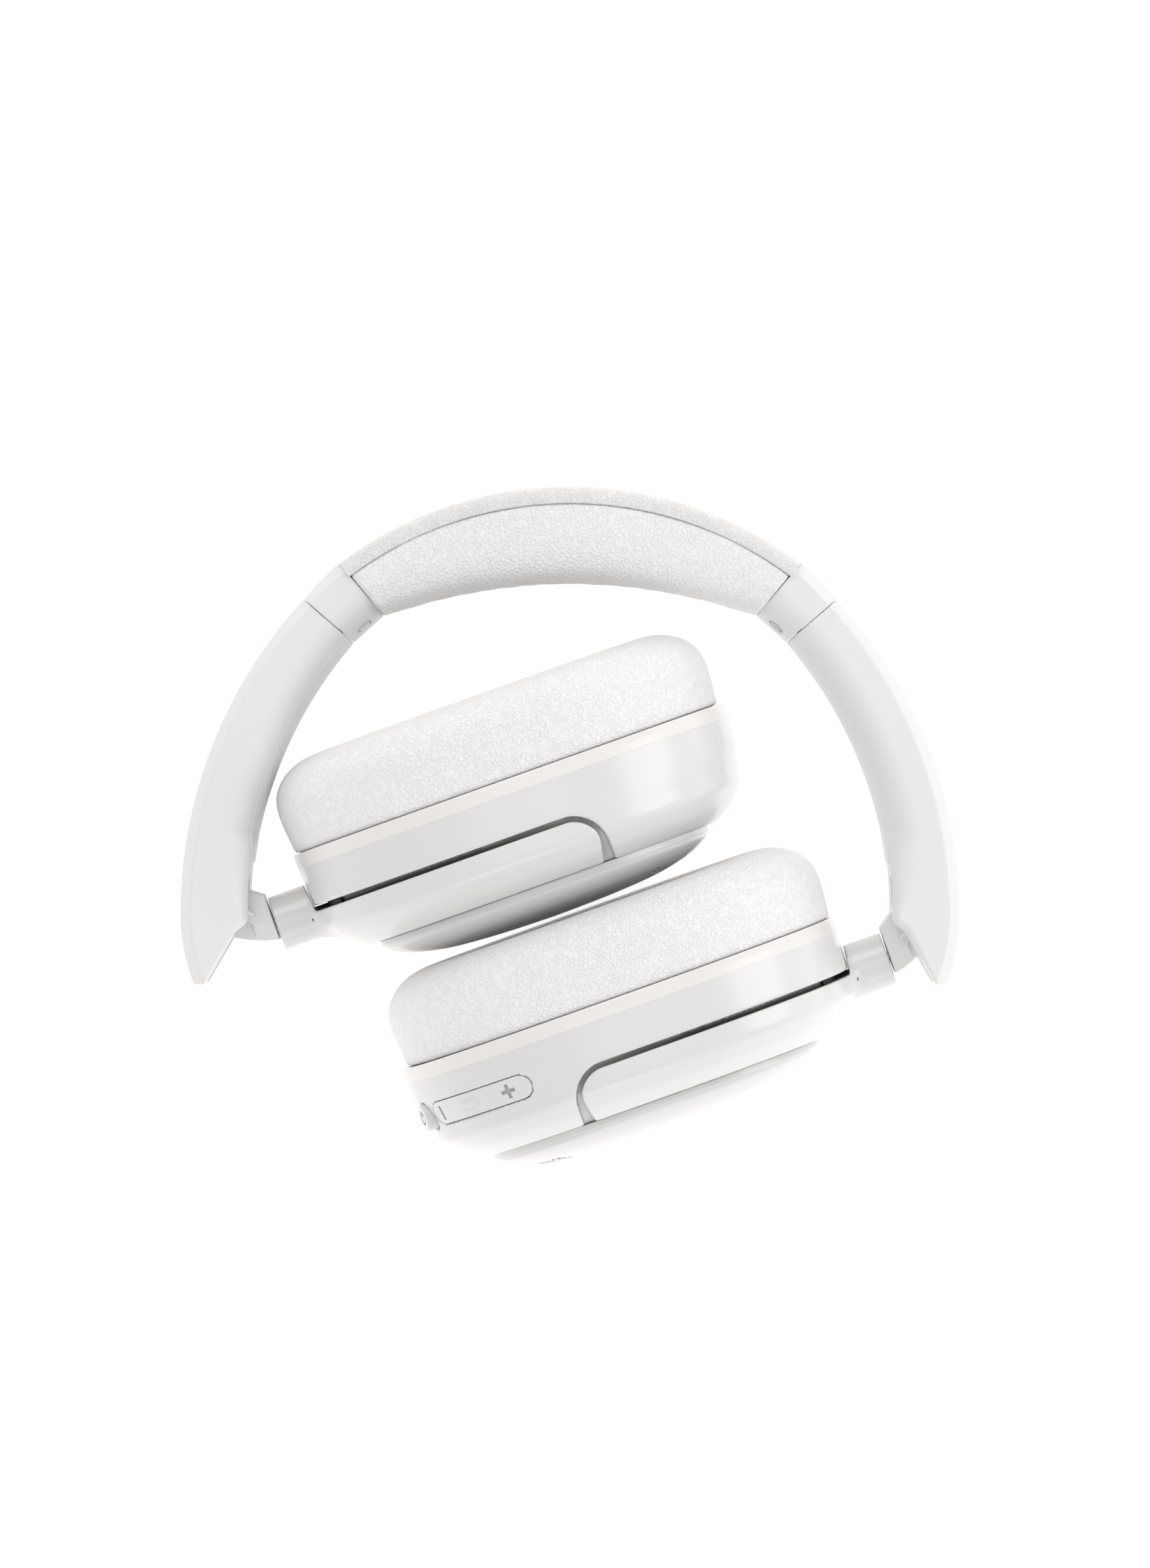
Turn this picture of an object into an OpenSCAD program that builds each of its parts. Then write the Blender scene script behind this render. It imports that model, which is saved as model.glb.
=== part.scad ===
// Folding over-ear headphones, lying folded flat on a table.
// X runs across the headband, Y from the ear cups to the crown of the headband,
// Z up from the table. The origin is under the middle of the whole object.
// Left and right follow the X axis: the left side is the one at negative X.

/* [Headband] */
// Outer radius of the crown of the headband
band_radius = 78.8; // [78.4:0.1:79.2]
// Width of the padded headband, front to back
band_width = 32; // [30:1:34]
// Thickness of the cover over the crown
cover_thickness = 2.4; // [1.8:0.1:2.6]
// How far below the outer surface the cover meets the padding
seam_depth = 3.7; // [3.2:0.1:4.2]
// Radius of the padding that rests on the head
pad_radius = 109.2; // [108.6:0.2:110]

/* [Arms] */
// Width of the arms and collars, front to back
arm_width = 30; // [29:1:31]
// How far each arm slides out of the headband
slide_travel = 20; // [10:1:22]
// Width of the steel slider strips
strip_width = 10; // [8:0.5:11]
// Thickness of the steel slider strips
strip_thickness = 1; // [0.8:0.1:1.2]

/* [Hinges] */
// Angle of the folded left stem above the X axis
left_fold_angle = 19.6; // [19:0.1:20]
// Angle of the folded right stem below the mirrored X axis
right_fold_angle = -19.6; // [-20:0.1:-19]
// Diameter of the fold hinge pins
hinge_pin_diameter = 3; // [2.6:0.1:3.2]
// Diameter of the round stems of the yokes
stem_diameter = 11.35; // [11:0.05:12]
// Diameter of the swivel shafts inside the stems
swivel_shaft_diameter = 3.2; // [2.8:0.1:3.4]
// Diameter of the tilt pins between yokes and cups
tilt_pin_diameter = 3.2; // [2.8:0.1:3.3]

/* [Ear cups] */
// Length of an ear cup, along its stem
cup_length = 93; // [92:0.5:94]
// Depth of an ear cup, front to back
cup_depth = 76; // [75:0.5:77]
// Squareness of the oval cup outline, 2 is an ellipse
oval_power = 2.35; // [2.1:0.05:2.6]
// Height of an ear cushion above the rim of its cup
cushion_height = 18.4; // [17:0.2:18.8]
// Length of the ear opening in a cushion
ear_length = 56; // [52:1:58]
// Height of the domed cap over the bottom of a cup
dome_height = 7.1; // [6:0.1:7.4]

/* [Controls] */
// Length of the volume rocker along the wall
rocker_length = 27; // [24:0.5:27.5]
// Width of the volume rocker
rocker_width = 4.9; // [4:0.1:5.2]
// Diameter of the power button
button_diameter = 5.7; // [5:0.1:6]
// How far the power button stands out of the cup
button_height = 1.3; // [1:0.1:1.5]

/* [Hidden] */

white_plastic = [0.93, 0.92, 0.92];
satin_plastic = [0.90, 0.89, 0.89];
white_leather = [0.94, 0.93, 0.92];
cloth_grey = [0.62, 0.62, 0.62];
steel = [0.72, 0.73, 0.75];
dark_plastic = [0.16, 0.16, 0.17];
board_green = [0.12, 0.34, 0.20];
film_grey = [0.75, 0.76, 0.78];
cell_blue = [0.25, 0.35, 0.55];

$fn = 48;
gap = 0.3;                 // clearance between bodies that don't fit each other
fit = 0.05;                // radial running clearance of pins and shafts
press = 0.02;              // radial allowance of pieces pressed together
ring_points = 56;          // points round a cup
far = 200;                 // longer than anything that is cut

// The middle plane of the object above the table, and the middle of the outline
cushion_bulge = 0.3;        // how far the cushions stand out past the cups
mid_height = cup_depth/2 + cushion_bulge;
middle_y = 0.2;

// ---- headband and arm outlines, in the XY plane, for the left side ----
band_center = [0, 69.6 - band_radius];
pad_center = [0, 50.3 - pad_radius];
arm_center = [15.1, -17.8];        // outer arc of an arm
arm_radius = 94.7;
liner_center = [21.96, -19.54];    // inner arc of an arm
liner_radius = 87.66;
tip_radius = 38;                   // outer arc of the arm's tip
tip_center = [arm_center[0] - arm_radius + tip_radius, arm_center[1]];
pad_end_angle = 126.8;             // where the padding ends, about band_center
hinge_at = [-72.8, -16.3];         // fold hinge axis

// The slider strip is straight. Its line passes below the middle of the collar.
strip_at = [-43.9, 43.4];
strip_angle = 225;                 // direction in which an arm slides out
strip_back = slide_travel + 3;     // from the middle of the collar into the headband
strip_front = 18;                  // from the middle of the collar into the arm

function polar(c, r, a) = [c[0] + r*cos(a), c[1] + r*sin(a)];
function sgnpow(v, p) = sign(v)*pow(abs(v), p);
function unit(v) = v/norm(v);

// Skins a stack of rings, each a list of 3-D points of one length. closed joins the last to the first.
module loft(rings, closed = false) {
    n = len(rings[0]);
    m = len(rings);
    last = closed ? m : m - 1;
    sides = [for (k = [0:last - 1], i = [0:n - 1])
        let (j = (i + 1)%n, up = (k + 1)%m)
        each [[k*n + j, up*n + j, up*n + i], [k*n + j, up*n + i, k*n + i]]];
    ends = closed ? [] : [[for (i = [0:n - 1]) (m - 1)*n + i], [for (i = [0:n - 1]) n - 1 - i]];
    polyhedron(points = [for (r = rings) each r], faces = concat(sides, ends));
}

// ---- section of the arms and collars: flat and chamfered outside, rounded inside ----
chamfer = 2.2;
round_share = 0.45;        // share of the thickness where the rounding starts
round_steps = 7;
function section_points(t, w) = concat(
    [[0, w/2 - chamfer], [chamfer*min(1, t/8), w/2]],
    [for (i = [0:2*round_steps]) let (a = 90 - 90*i/round_steps)
        [t*round_share + t*(1 - round_share)*cos(a), w/2*sgnpow(sin(a), 0.8)]],
    [[chamfer*min(1, t/8), -w/2], [0, -w/2 + chamfer]]);
// A section between an outer point o and an inner point i, both in the XY plane
function section(o, i, w) = let (d = unit(i - o))
    [for (p = section_points(norm(i - o), w)) [o[0] + d[0]*p[0], o[1] + d[1]*p[0], p[1]]];

arm_top = [[-54.3, 46.6], [-44.3, 37.9]];      // outer and inner corner of the collar's lower end
collar_top = [[-47.2, 53.9], [-38.2, 43.4]];   // the same of the collar's upper end
arm_start = [for (p = arm_top) polar(p, gap, strip_angle)];    // the arm begins a gap beyond it
function arm_pair(a) = let (o = polar(arm_center, arm_radius, a), d = unit(arm_center - o),
    q = o - liner_center, b = q*d) [o, o + d*(-b - sqrt(b*b - q*q + liner_radius*liner_radius))];
function tip_outer(y) = [tip_center[0] - sqrt(pow(tip_radius, 2) - pow(y - tip_center[1], 2)), y];
arm_stations = concat([arm_start], [for (a = [141:4.5:172]) arm_pair(a)],
    [arm_pair(174.5), [polar(arm_center, arm_radius, 180), [-66.5, -17.5]],
     [tip_outer(-21.5), [-68.6, -21.3]], [tip_outer(-26), [-71.4, -26]],
     [tip_outer(-29.5), [-73.5, -29.5]], [tip_outer(-31.9), [-75.4, -32.2]]]);

// ---- placing ----
module lift() translate([0, -middle_y, mid_height]) children();
module left() lift() children();
module right() lift() mirror([1, 0, 0]) children();
// Frame of a stem: x along the stem away from the hinge, y towards the cushion side
module stem_frame(angle) translate([hinge_at[0], hinge_at[1], 0]) rotate([0, 0, angle]) children();
// Frame of a cup: its centre lies on the stem's axis
stem_offset = 7.58;                // stem axis beside the fold axis
cup_reach = 65.05;                 // cup centre along the stem from the fold axis
module cup_frame() translate([cup_reach, -stem_offset, 0]) children();
module on_left() left() stem_frame(left_fold_angle) children();
module on_right() right() stem_frame(right_fold_angle) children();
module strip_frame() translate([strip_at[0], strip_at[1], 0]) rotate([0, 0, strip_angle]) children();

// ================= headband =================
frame_low = 68.6;          // inner radius of the band frame
frame_high = 75.3;         // its outer radius
frame_width = 19;
spring_thickness = 0.8;
tunnel_gap = 0.35;
socket = 4;                // how far the frame reaches into a collar, degrees

module arc_bar(r0, r1, w, half_angle) translate([band_center[0], band_center[1], 0])
    rotate([0, 0, 90 - half_angle]) rotate_extrude(angle = 2*half_angle, $fn = 180)
    translate([r0, -w/2]) square([r1 - r0, w]);

// The straight tunnels that the slider strips run in
module strip_space(length, e) strip_frame()
    cube([length, strip_thickness + 2*e, strip_width + 2*e], center = true);
module strip_tunnel() strip_space(2*(strip_back + 2), tunnel_gap);
module both_sides() {
    children();
    mirror([1, 0, 0]) children();
}
half_pad = pad_end_angle - 90;
half_cover = half_pad - 0.25;
half_frame = half_pad + socket;

rivet_radius = 1;
rivet_low = frame_high - 3.5;
module rivet_spots() for (a = [-16, 0, 16])
    translate([band_center[0], band_center[1], 0]) rotate([0, 0, 90 + a]) rotate([0, 90, 0]) children();
module rivet_holes() rivet_spots() translate([0, 0, rivet_low - 0.5])
    cylinder(r = rivet_radius + press, h = 10);

module headband_frame() color(dark_plastic) lift() difference() {
    arc_bar(frame_low, frame_high, frame_width, half_frame);
    both_sides() strip_tunnel();
    rivet_holes();
}
module spring_band() color(steel) lift() difference() {
    arc_bar(frame_high + 0.05, frame_high + spring_thickness, frame_width - 4, half_pad - 0.5);
    rivet_holes();
}
module band_rivets() color(steel) lift() rivet_spots() translate([0, 0, rivet_low])
    cylinder(r = rivet_radius, h = frame_high + spring_thickness + 0.1 - rivet_low);

module headband_cover() color(white_leather) lift()
    translate([band_center[0], band_center[1], 0]) rotate([0, 0, 90 - half_cover])
    rotate_extrude(angle = 2*half_cover, $fn = 180) cover_profile();
cover_edge = 1.6;          // bevel of the cover's outer edges
cover_rim = 3;             // width of the rims that reach down to the seam
module cover_profile() {
    side = band_width/2;
    low = band_radius - seam_depth + 0.05;
    under = band_radius - cover_thickness + 0.1;
    polygon([[low, -side], [low, cover_rim - side], [under, cover_rim + 0.6 - side],
        [under, side - cover_rim - 0.6], [low, side - cover_rim], [low, side],
        [band_radius - cover_edge, side], [band_radius, side - cover_edge],
        [band_radius, cover_edge - side], [band_radius - cover_edge, -side]]);
}

// The padding lies between the seam and a flatter inner arc
pad_corner = collar_top[1] + [0.15, 0.1];
module headband_cushion() color(white_leather) lift() difference() {
    linear_extrude(height = band_width, center = true) difference() {
        pad_sector(band_radius - seam_depth, half_pad - 0.2);
        translate(pad_center) circle(r = pad_radius, $fn = 180);
    }
    arc_bar(frame_low - 0.1, frame_high + 1, frame_width + 0.2, half_pad + 4);
    both_sides() strip_tunnel();
}
// A sector of the crown, closed towards the padding's inner corners
module pad_sector(r, half_angle) {
    arc = [for (i = [0:24]) polar(band_center, r, 90 - half_angle + 2*half_angle*i/24)];
    polygon(concat(arc, [pad_corner, [0, 20], [-pad_corner[0], pad_corner[1]]]));
}

// Collars close the ends of the padding and guide the arms
collar_mid = [[-50.9, 50.4], [-41.3, 40.6]];
module collar_body() loft([for (s = [collar_top, collar_mid, arm_top]) section(s[0], s[1], arm_width)]);
dimple_at = [-42.6, 41.7]; // round recess with the collar's screw
dimple_radius = 1.6;
dimple_floor = 5.7;
collar_screw_radius = 0.85;
module collar() color(satin_plastic) difference() {
    collar_body();
    arc_bar(frame_low - 0.1, frame_high + 0.2, frame_width + 0.2, half_frame + 0.3);
    strip_frame() cube([far, guide_thickness + 2*fit, guide_width + 2*fit], center = true);
    at_dimple() cylinder(r = dimple_radius, h = 20);
    at_dimple() translate([0, 0, -3]) cylinder(r = collar_screw_radius + fit, h = 20);
}
module at_dimple() translate([dimple_at[0], dimple_at[1], dimple_floor]) children();
module collar_left() left() collar();
module collar_right() right() collar();
module collar_screws() color(steel) lift() both_sides() at_dimple() {
    translate([0, 0, 0.05]) cylinder(r = dimple_radius - 0.1, h = 1.4);
    translate([0, 0, -2.8]) cylinder(r = collar_screw_radius, h = 3);
}

// Plastic guides line the tunnels where the strips leave the collars
guide_width = strip_width + 3;
guide_thickness = strip_thickness + 2.4;
guide_clearance = 0.12;
guide_length = 2.4;
guide_at = 3;              // middle of a guide along the strip, from the middle of the collar
module slider_guide() color(dark_plastic) difference() {
    strip_frame() translate([guide_at, 0, 0])
        cube([guide_length, guide_thickness, guide_width], center = true);
    strip_space(far, guide_clearance);
}
module slider_guide_left() left() slider_guide();
module slider_guide_right() right() slider_guide();

// ================= arms =================
slot_width = 16.6;         // gap between the cheeks of an arm
slot_top = -10.4;          // upper end of that gap
liner_end = -7.4;          // lower end of the inner liner
liner_thickness = 1.6;
pin_half = 13.4;           // half length of a fold hinge pin

module arm_body() loft([for (s = arm_stations) section(s[0], s[1], arm_width)]);
// The liner covers the inner side of an arm down to the hinge
module liner_zone() linear_extrude(height = far, center = true) intersection() {
    translate(liner_center) circle(r = liner_radius + liner_thickness, $fn = 180);
    translate([-far, liner_end]) square([far, far]);
}
strip_screw_radius = 1.05;
strip_head_radius = 2;
module strip_screw_spots() strip_frame() for (s = [9.5, 14])
    translate([s, 0, 0]) rotate([-90, 0, 0]) children();
module strip_head_holes() strip_screw_spots() translate([0, 0, strip_thickness/2])
    cylinder(r = strip_head_radius + 0.2, h = 1.2);
module at_hinge() translate([hinge_at[0], hinge_at[1], 0]) children();
module arm_shell() color(satin_plastic) difference() {
    arm_body();
    liner_zone();
    translate([-far/2, slot_top - far, -slot_width/2]) cube([far, far, slot_width]);
    strip_space(2*strip_front + 0.4, fit);
    strip_screw_spots() translate([0, 0, -4.2]) cylinder(r = strip_screw_radius + fit, h = 4.2);
    strip_head_holes();
    at_hinge() cylinder(d = hinge_pin_diameter + 2*press, h = 2*pin_half + 0.2, center = true);
}
module arm_liner() color(satin_plastic) difference() {
    intersection() {
        arm_body();
        liner_zone();
    }
    strip_space(2*strip_front + 0.4, fit);
    strip_head_holes();
}
module slider_strip() color(steel) difference() {
    strip_frame() translate([-strip_back, -strip_thickness/2, -strip_width/2])
        cube([strip_back + strip_front, strip_thickness, strip_width]);
    strip_screw_spots() cylinder(r = strip_screw_radius + fit, h = 4, center = true);
}
module strip_screws() color(steel) strip_screw_spots() {
    translate([0, 0, -4]) cylinder(r = strip_screw_radius, h = 4.2 + strip_thickness/2);
    translate([0, 0, strip_thickness/2 + 0.03]) cylinder(r = strip_head_radius, h = 1);
}
module hinge_pin() color(steel) at_hinge()
    cylinder(d = hinge_pin_diameter, h = 2*pin_half, center = true);
module arm_shell_left() left() arm_shell();
module arm_shell_right() right() arm_shell();
module arm_liner_left() left() arm_liner();
module arm_liner_right() right() arm_liner();
module slider_strip_left() left() slider_strip();
module slider_strip_right() right() slider_strip();
module strip_screws_left() left() strip_screws();
module strip_screws_right() right() strip_screws();
module hinge_pin_left() left() hinge_pin();
module hinge_pin_right() right() hinge_pin();

// ================= knuckles, in the frame of the stem =================
knuckle_width = slot_width - 2*gap;
barrel_radius = 4.8;
knuckle_neck = 12.4;       // width of the knuckle beside its barrel
knuckle_end = 10.3;        // its flat end, along the stem
shaft_start = 5.5;
shaft_end = 17.1;
clip_at = 15.75;           // the clip keeps the stem on the shaft
clip_thickness = 1;
clip_radius = 2.8;
module on_shaft(x) translate([x, -stem_offset, 0]) rotate([0, 90, 0]) children();
module knuckle() color(satin_plastic) difference() {
    union() {
        cylinder(r = barrel_radius, h = knuckle_width, center = true);
        linear_extrude(height = knuckle_neck, center = true)
            polygon([[-3, 3.6], [5.7, 2.27], [knuckle_end, -1], [knuckle_end, -10.84], [7.7, -10.2],
                [4.4, -8.9], [0.94, -7.15], [-3, -3.6]]);
    }
    cylinder(d = hinge_pin_diameter + 2*fit, h = far, center = true);
    on_shaft(shaft_start) cylinder(d = swivel_shaft_diameter + 2*press, h = far);
}
module swivel_shaft() color(steel) on_shaft(shaft_start)
    cylinder(d = swivel_shaft_diameter, h = shaft_end - shaft_start);
module swivel_clip() color(steel) on_shaft(clip_at) difference() {
    cylinder(r = clip_radius, h = clip_thickness);
    translate([0, 0, -1]) cylinder(d = swivel_shaft_diameter + 2*press, h = 4);
}
module knuckle_left() on_left() knuckle();
module knuckle_right() on_right() knuckle();
module swivel_shaft_left() on_left() swivel_shaft();
module swivel_shaft_right() on_right() swivel_shaft();
module swivel_clip_left() on_left() swivel_clip();
module swivel_clip_right() on_right() swivel_clip();

// ================= ovals of the cups, in the frame of the cup =================
// x along the stem, y towards the cushion, z towards the front
half = cup_length/2;
oval_inset = (cup_length - cup_depth)/2;   // the oval is this much shallower than long, each side
function oval(a, b, y) = [for (i = [0:ring_points - 1]) let (t = 360*i/ring_points)
    [a*sgnpow(cos(t), 2/oval_power), y, b*sgnpow(sin(t), 2/oval_power)]];
function ring(a, y) = oval(a, a - oval_inset, y);
rim = 12;                  // height of the shell's rim above the stem's axis
bottom = -10.5;            // the shell's underside
channel_top = 0.8;         // upper edge of the channel for the yoke
yoke_top = -0.3;
shoulder = -4.5;           // the wall turns inwards below this
knee = -7.9;
outer_wall = [[half - 9, bottom], [half - 4.7, knee], [half - 1.2, shoulder],
    [half - 0.6, channel_top], [half, 8.9], [half - 0.2, rim]];
function grown(g) = [for (p = outer_wall) ring(p[0] + g, p[1])];
core_wall = [[half - 11.7, bottom], [half - 8.7, knee], [half - 4.9, shoulder], [half - 3.9, channel_top]];
yoke_wall = [[half - 10.4, bottom - 3], [half - 10.4, bottom], [half - 7.4, knee], [half - 4.2, shoulder],
    [half - 3.3, channel_top], [half - 3.3, 6]];
opening_half = 30.5;       // half length of the hole in the underside
cup_stem = -54.4;          // start of the stem, along x
tilt_at = [5, -2.6];         // tilt axis, in x and y

// The area of the side view that the yoke's arms fill, widened by e
arm_end = 14.4;
arm_corner = 6.4;
module side_area(e) {
    translate([-far, -far]) square([far + arm_end - arm_corner, far + yoke_top + e]);
    translate([-far, -far]) square([far + arm_end + e, far + yoke_top - arm_corner]);
    translate([arm_end - arm_corner, yoke_top - arm_corner]) circle(r = arm_corner + e);
}
channel_gap = channel_top - yoke_top;

// ================= yokes =================
pocket_start = -49.65;     // the stem is hollow from here for the clip
pocket_radius = 3.2;
module yoke_arms() intersection() {
    loft(grown(0));
    linear_extrude(height = far, center = true) side_area(0);
}
module stem_shape() {
    translate([cup_stem, 0, 0]) rotate([0, 90, 0]) cylinder(d = stem_diameter, h = 11.5);
    hull() {
        translate([-50, 0, 0]) rotate([0, 90, 0]) cylinder(d = stem_diameter - 0.2, h = 0.5, $fn = 32);
        translate([-44.5, -7, -13]) cube([1.5, 6.5, 26]);
    }
}
module yoke() color(white_plastic) cup_frame() difference() {
    union() {
        yoke_arms();
        stem_shape();
    }
    loft([for (p = yoke_wall) ring(p[0], p[1])]);
    intersection() {
        loft(grown(0.55));
        translate([-far/2, yoke_top, -far/2]) cube(far);
    }
    translate([cup_stem - 1, 0, 0]) rotate([0, 90, 0])
        cylinder(d = swivel_shaft_diameter + 2*fit, h = 14);
    translate([pocket_start, 0, 0]) rotate([0, 90, 0]) cylinder(r = pocket_radius, h = 14);
    at_tilt() cylinder(d = tilt_pin_diameter + 2*press, h = 2*tilt_pin_far + 0.1, center = true);
}
module at_tilt() translate([tilt_at[0], tilt_at[1], 0]) children();
half_depth = cup_depth/2;
tilt_pin_far = half_depth - 2.2;
tilt_pin_near = half_depth - 9.3;
module tilt_pins() color(steel) cup_frame() for (s = [0, 1]) mirror([0, 0, s])
    at_tilt() translate([0, 0, tilt_pin_near])
        cylinder(d = tilt_pin_diameter, h = tilt_pin_far - tilt_pin_near);
module yoke_left() on_left() yoke();
module yoke_right() on_right() yoke();
module tilt_pins_left() on_left() tilt_pins();
module tilt_pins_right() on_right() tilt_pins();

// ================= ear cups =================
cavity = [[half - 13.6, bottom + 2], [half - 10.5, knee], [half - 6.7, shoulder],
    [half - 5.7, 2.2], [half - 2.3, 4.5], [half - 2.3, rim + 1]];
screw_spots = [[29.5, 11], [29.5, -11], [-29.5, 11], [-29.5, -11]];
post_radius = 2.4;
screw_radius = 1.2;        // the screws that hold a baffle to its posts
screw_head_radius = 2.2;
baffle_low = 9.4;
baffle_high = 11.6;
module at_height(y) translate([0, y, 0]) rotate([-90, 0, 0]) children();
module posts() for (p = screw_spots) translate([p[0], 0, p[1]]) children();

tilt_boss_radius = 3.8;
module cup_shell() color(white_plastic) cup_frame() difference() {
    union() {
        difference() {
            union() {
                difference() {
                    loft(grown(0));
                    linear_extrude(height = far, center = true) side_area(channel_gap);
                }
                loft([for (p = concat(core_wall, [[half - 3.9, 3]])) ring(p[0], p[1])]);
            }
            loft([for (p = cavity) ring(p[0], p[1])]);
        }
        posts() at_height(bottom + 1.8) cylinder(r = post_radius, h = baffle_low - bottom - 1.85);
        for (s = [0, 1]) mirror([0, 0, s]) at_tilt() translate([0, 0, half_depth - 10])
            cylinder(r = tilt_boss_radius, h = 3.1);
    }
    loft([ring(opening_half, bottom - 1), ring(opening_half, bottom + 2.5)]);
    posts() at_height(2) cylinder(r = screw_radius + fit, h = 20);
    at_tilt() cylinder(d = tilt_pin_diameter + 2*fit, h = far, center = true);
}
cap_top = bottom - 0.1;
cap_half = 35.6;
cap_aspect = (cap_half - oval_inset)/cap_half;
// The dome's outline: how far out and how deep, as shares of its half length and height
dome = [[0.23, 0.975], [0.43, 0.93], [0.635, 0.84], [0.795, 0.66], [0.9, 0.48], [0.975, 0.27], [1, 0]];
module dome_loft(reach, height, above) loft(concat(
    [for (p = dome) oval(reach*p[0], reach*p[0]*cap_aspect, cap_top - height*p[1])],
    above > 0 ? [oval(reach, reach*cap_aspect, cap_top + above)] : []));
lip_height = 1.8;
module cup_cap() color(white_plastic) cup_frame() difference() {
    union() {
        dome_loft(cap_half, dome_height, 0);
        loft([ring(opening_half - 0.2, cap_top - 0.5), ring(opening_half - 0.2, cap_top + lip_height)]);
    }
    dome_loft(opening_half - 2.2, dome_height - 1.8, lip_height + 1);
}
driver_radius = 20;        // of the driver's mouth, which fills the baffle's hole
basket_radius = 16;        // of the cup behind the mouth, which holds the magnet
magnet_radius = 12.5;
module baffle() color(dark_plastic) cup_frame() difference() {
    loft([ring(half - 2.6, baffle_low), ring(half - 2.6, baffle_high)]);
    at_height(0) cylinder(r = driver_radius + 0.1, h = 30);
    posts() at_height(0) cylinder(r = screw_radius + 0.2, h = 30);
    posts() at_height(baffle_high - 1.3) cylinder(r = screw_head_radius + 0.2, h = 3);
}
module baffle_screws() color(steel) cup_frame() posts() {
    at_height(3) cylinder(r = screw_radius, h = baffle_high - 1.2 - 3);
    at_height(baffle_high - 1.25) cylinder(r = screw_head_radius, h = 1.1);
}
// The cushion is a closed ring with a rounded top, wider above than at the rim
cushion_low = rim + 0.2;
ear_half = ear_length/2;
module ear_cushion() color(white_leather) cup_frame() loft(cushion_rings, closed = true);
shoulder_radius = 8.9;     // rounding of a cushion's outer edge
cushion_rings = let (h = cushion_height - 0.2, y = cushion_low, w = half + cushion_bulge) concat(
    [ring(half - 1.3, y), ring(half - 0.5, y + 0.2*h), ring(w, y + 0.48*h)],
    [for (a = [20:23:89])
        ring(w - shoulder_radius*(1 - cos(a)), y + h - shoulder_radius*(1 - sin(a)))],
    [ring(w - shoulder_radius, y + h), ring(ear_half + 5, y + h), ring(ear_half + 1.5, y + h - 1.5),
     ring(ear_half, y + h - 5), ring(ear_half, y)]);
module ear_scrim() color(cloth_grey) cup_frame()
    loft([ring(ear_half + 2, baffle_high + 0.05), ring(ear_half + 2, rim + 0.1)]);
module driver_frame() color(dark_plastic) cup_frame() difference() {
    union() {
        at_height(2) cylinder(r = basket_radius, h = 6.5);
        at_height(8) cylinder(r = driver_radius + 2.5, h = baffle_low - 8.05);
        at_height(9) cylinder(r = driver_radius, h = 2.4);
    }
    at_height(3.5) cylinder(r = basket_radius - 1.8, h = 6);
    at_height(8.6) cylinder(r = driver_radius - 1.2, h = 6);
}
module driver_magnet() color(steel) cup_frame() at_height(-0.8)
    cylinder(r = magnet_radius, h = 2.75);
module diaphragm() color(film_grey) cup_frame() at_height(8.65) rotate_extrude()
    polygon([[0, 1.6], [6, 1.3], [8, 0.3], [12, 0.9], [17, 0.5], [18.6, 0], [18.6, 0.3], [17, 0.8],
        [12, 1.2], [8, 0.6], [6, 1.6], [0, 1.9]]);
mic_at = [21, 8];
mic_radius = 2;
module microphone() color(steel) cup_frame() translate([mic_at[0], -12.4, mic_at[1]])
    rotate([-90, 0, 0]) cylinder(r = mic_radius, h = 1.4);

module cup_shell_left() on_left() cup_shell();
module cup_cap_left() on_left() cup_cap();
module cup_cap_right() on_right() cup_cap();
module baffle_left() on_left() baffle();
module baffle_right() on_right() baffle();
module baffle_screws_left() on_left() baffle_screws();
module baffle_screws_right() on_right() baffle_screws();
module ear_cushion_left() on_left() ear_cushion();
module ear_cushion_right() on_right() ear_cushion();
module ear_scrim_left() on_left() ear_scrim();
module ear_scrim_right() on_right() ear_scrim();
module driver_frame_left() on_left() driver_frame();
module driver_frame_right() on_right() driver_frame();
module driver_magnet_left() on_left() driver_magnet();
module driver_magnet_right() on_right() driver_magnet();
module diaphragm_left() on_left() diaphragm();
module diaphragm_right() on_right() diaphragm();
module microphone_left() on_left() microphone();
module microphone_right() on_right() microphone();

module battery() color(cell_blue) on_left() cup_frame()
    translate([-20, -8, -13]) cube([40, 5.2, 26]);
module circuit_board() color(board_green) on_right() cup_frame() difference() {
    union() {
        translate([-24, -7.6, -16]) cube([48, 1, 32]);
        translate([-14, -6.7, -10]) cube([9, 1.3, 9]);
        translate([2, -6.7, -4]) cube([6, 1, 6]);
        translate([10, -6.7, 4]) cube([8, 1.8, 5]);
    }
    for (p = [[-21, 13], [21, -13]]) translate([p[0], 0, p[1]]) at_height(-9) cylinder(r = 1.1, h = 4);
}

// ================= controls and port, on the right cup =================
control_height = 1.35;     // height of the controls above the stem's axis
button_angle = 14.5;       // the button faces this much towards the front
button_spot = [45.1, 12.3];
button_depth = 4.2;        // from the wall to the button's flange
module button_frame() translate([button_spot[0], control_height, button_spot[1]])
    rotate([0, -button_angle, 0]) rotate([0, 90, 0]) children();
module power_button() color(white_plastic) on_right() cup_frame() button_frame() {
    translate([0, 0, -button_depth]) cylinder(d = button_diameter, h = button_depth + button_height);
    translate([0, 0, -button_depth]) cylinder(d = button_diameter + 1.8, h = 1);
}
module power_switch() color(dark_plastic) on_right() cup_frame() button_frame() {
    translate([-2.5, -2.5, -7.6]) cube([5, 5, 1.4]);
    translate([0, 0, -6.25]) cylinder(r = 1.2, h = 1);
}
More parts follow.
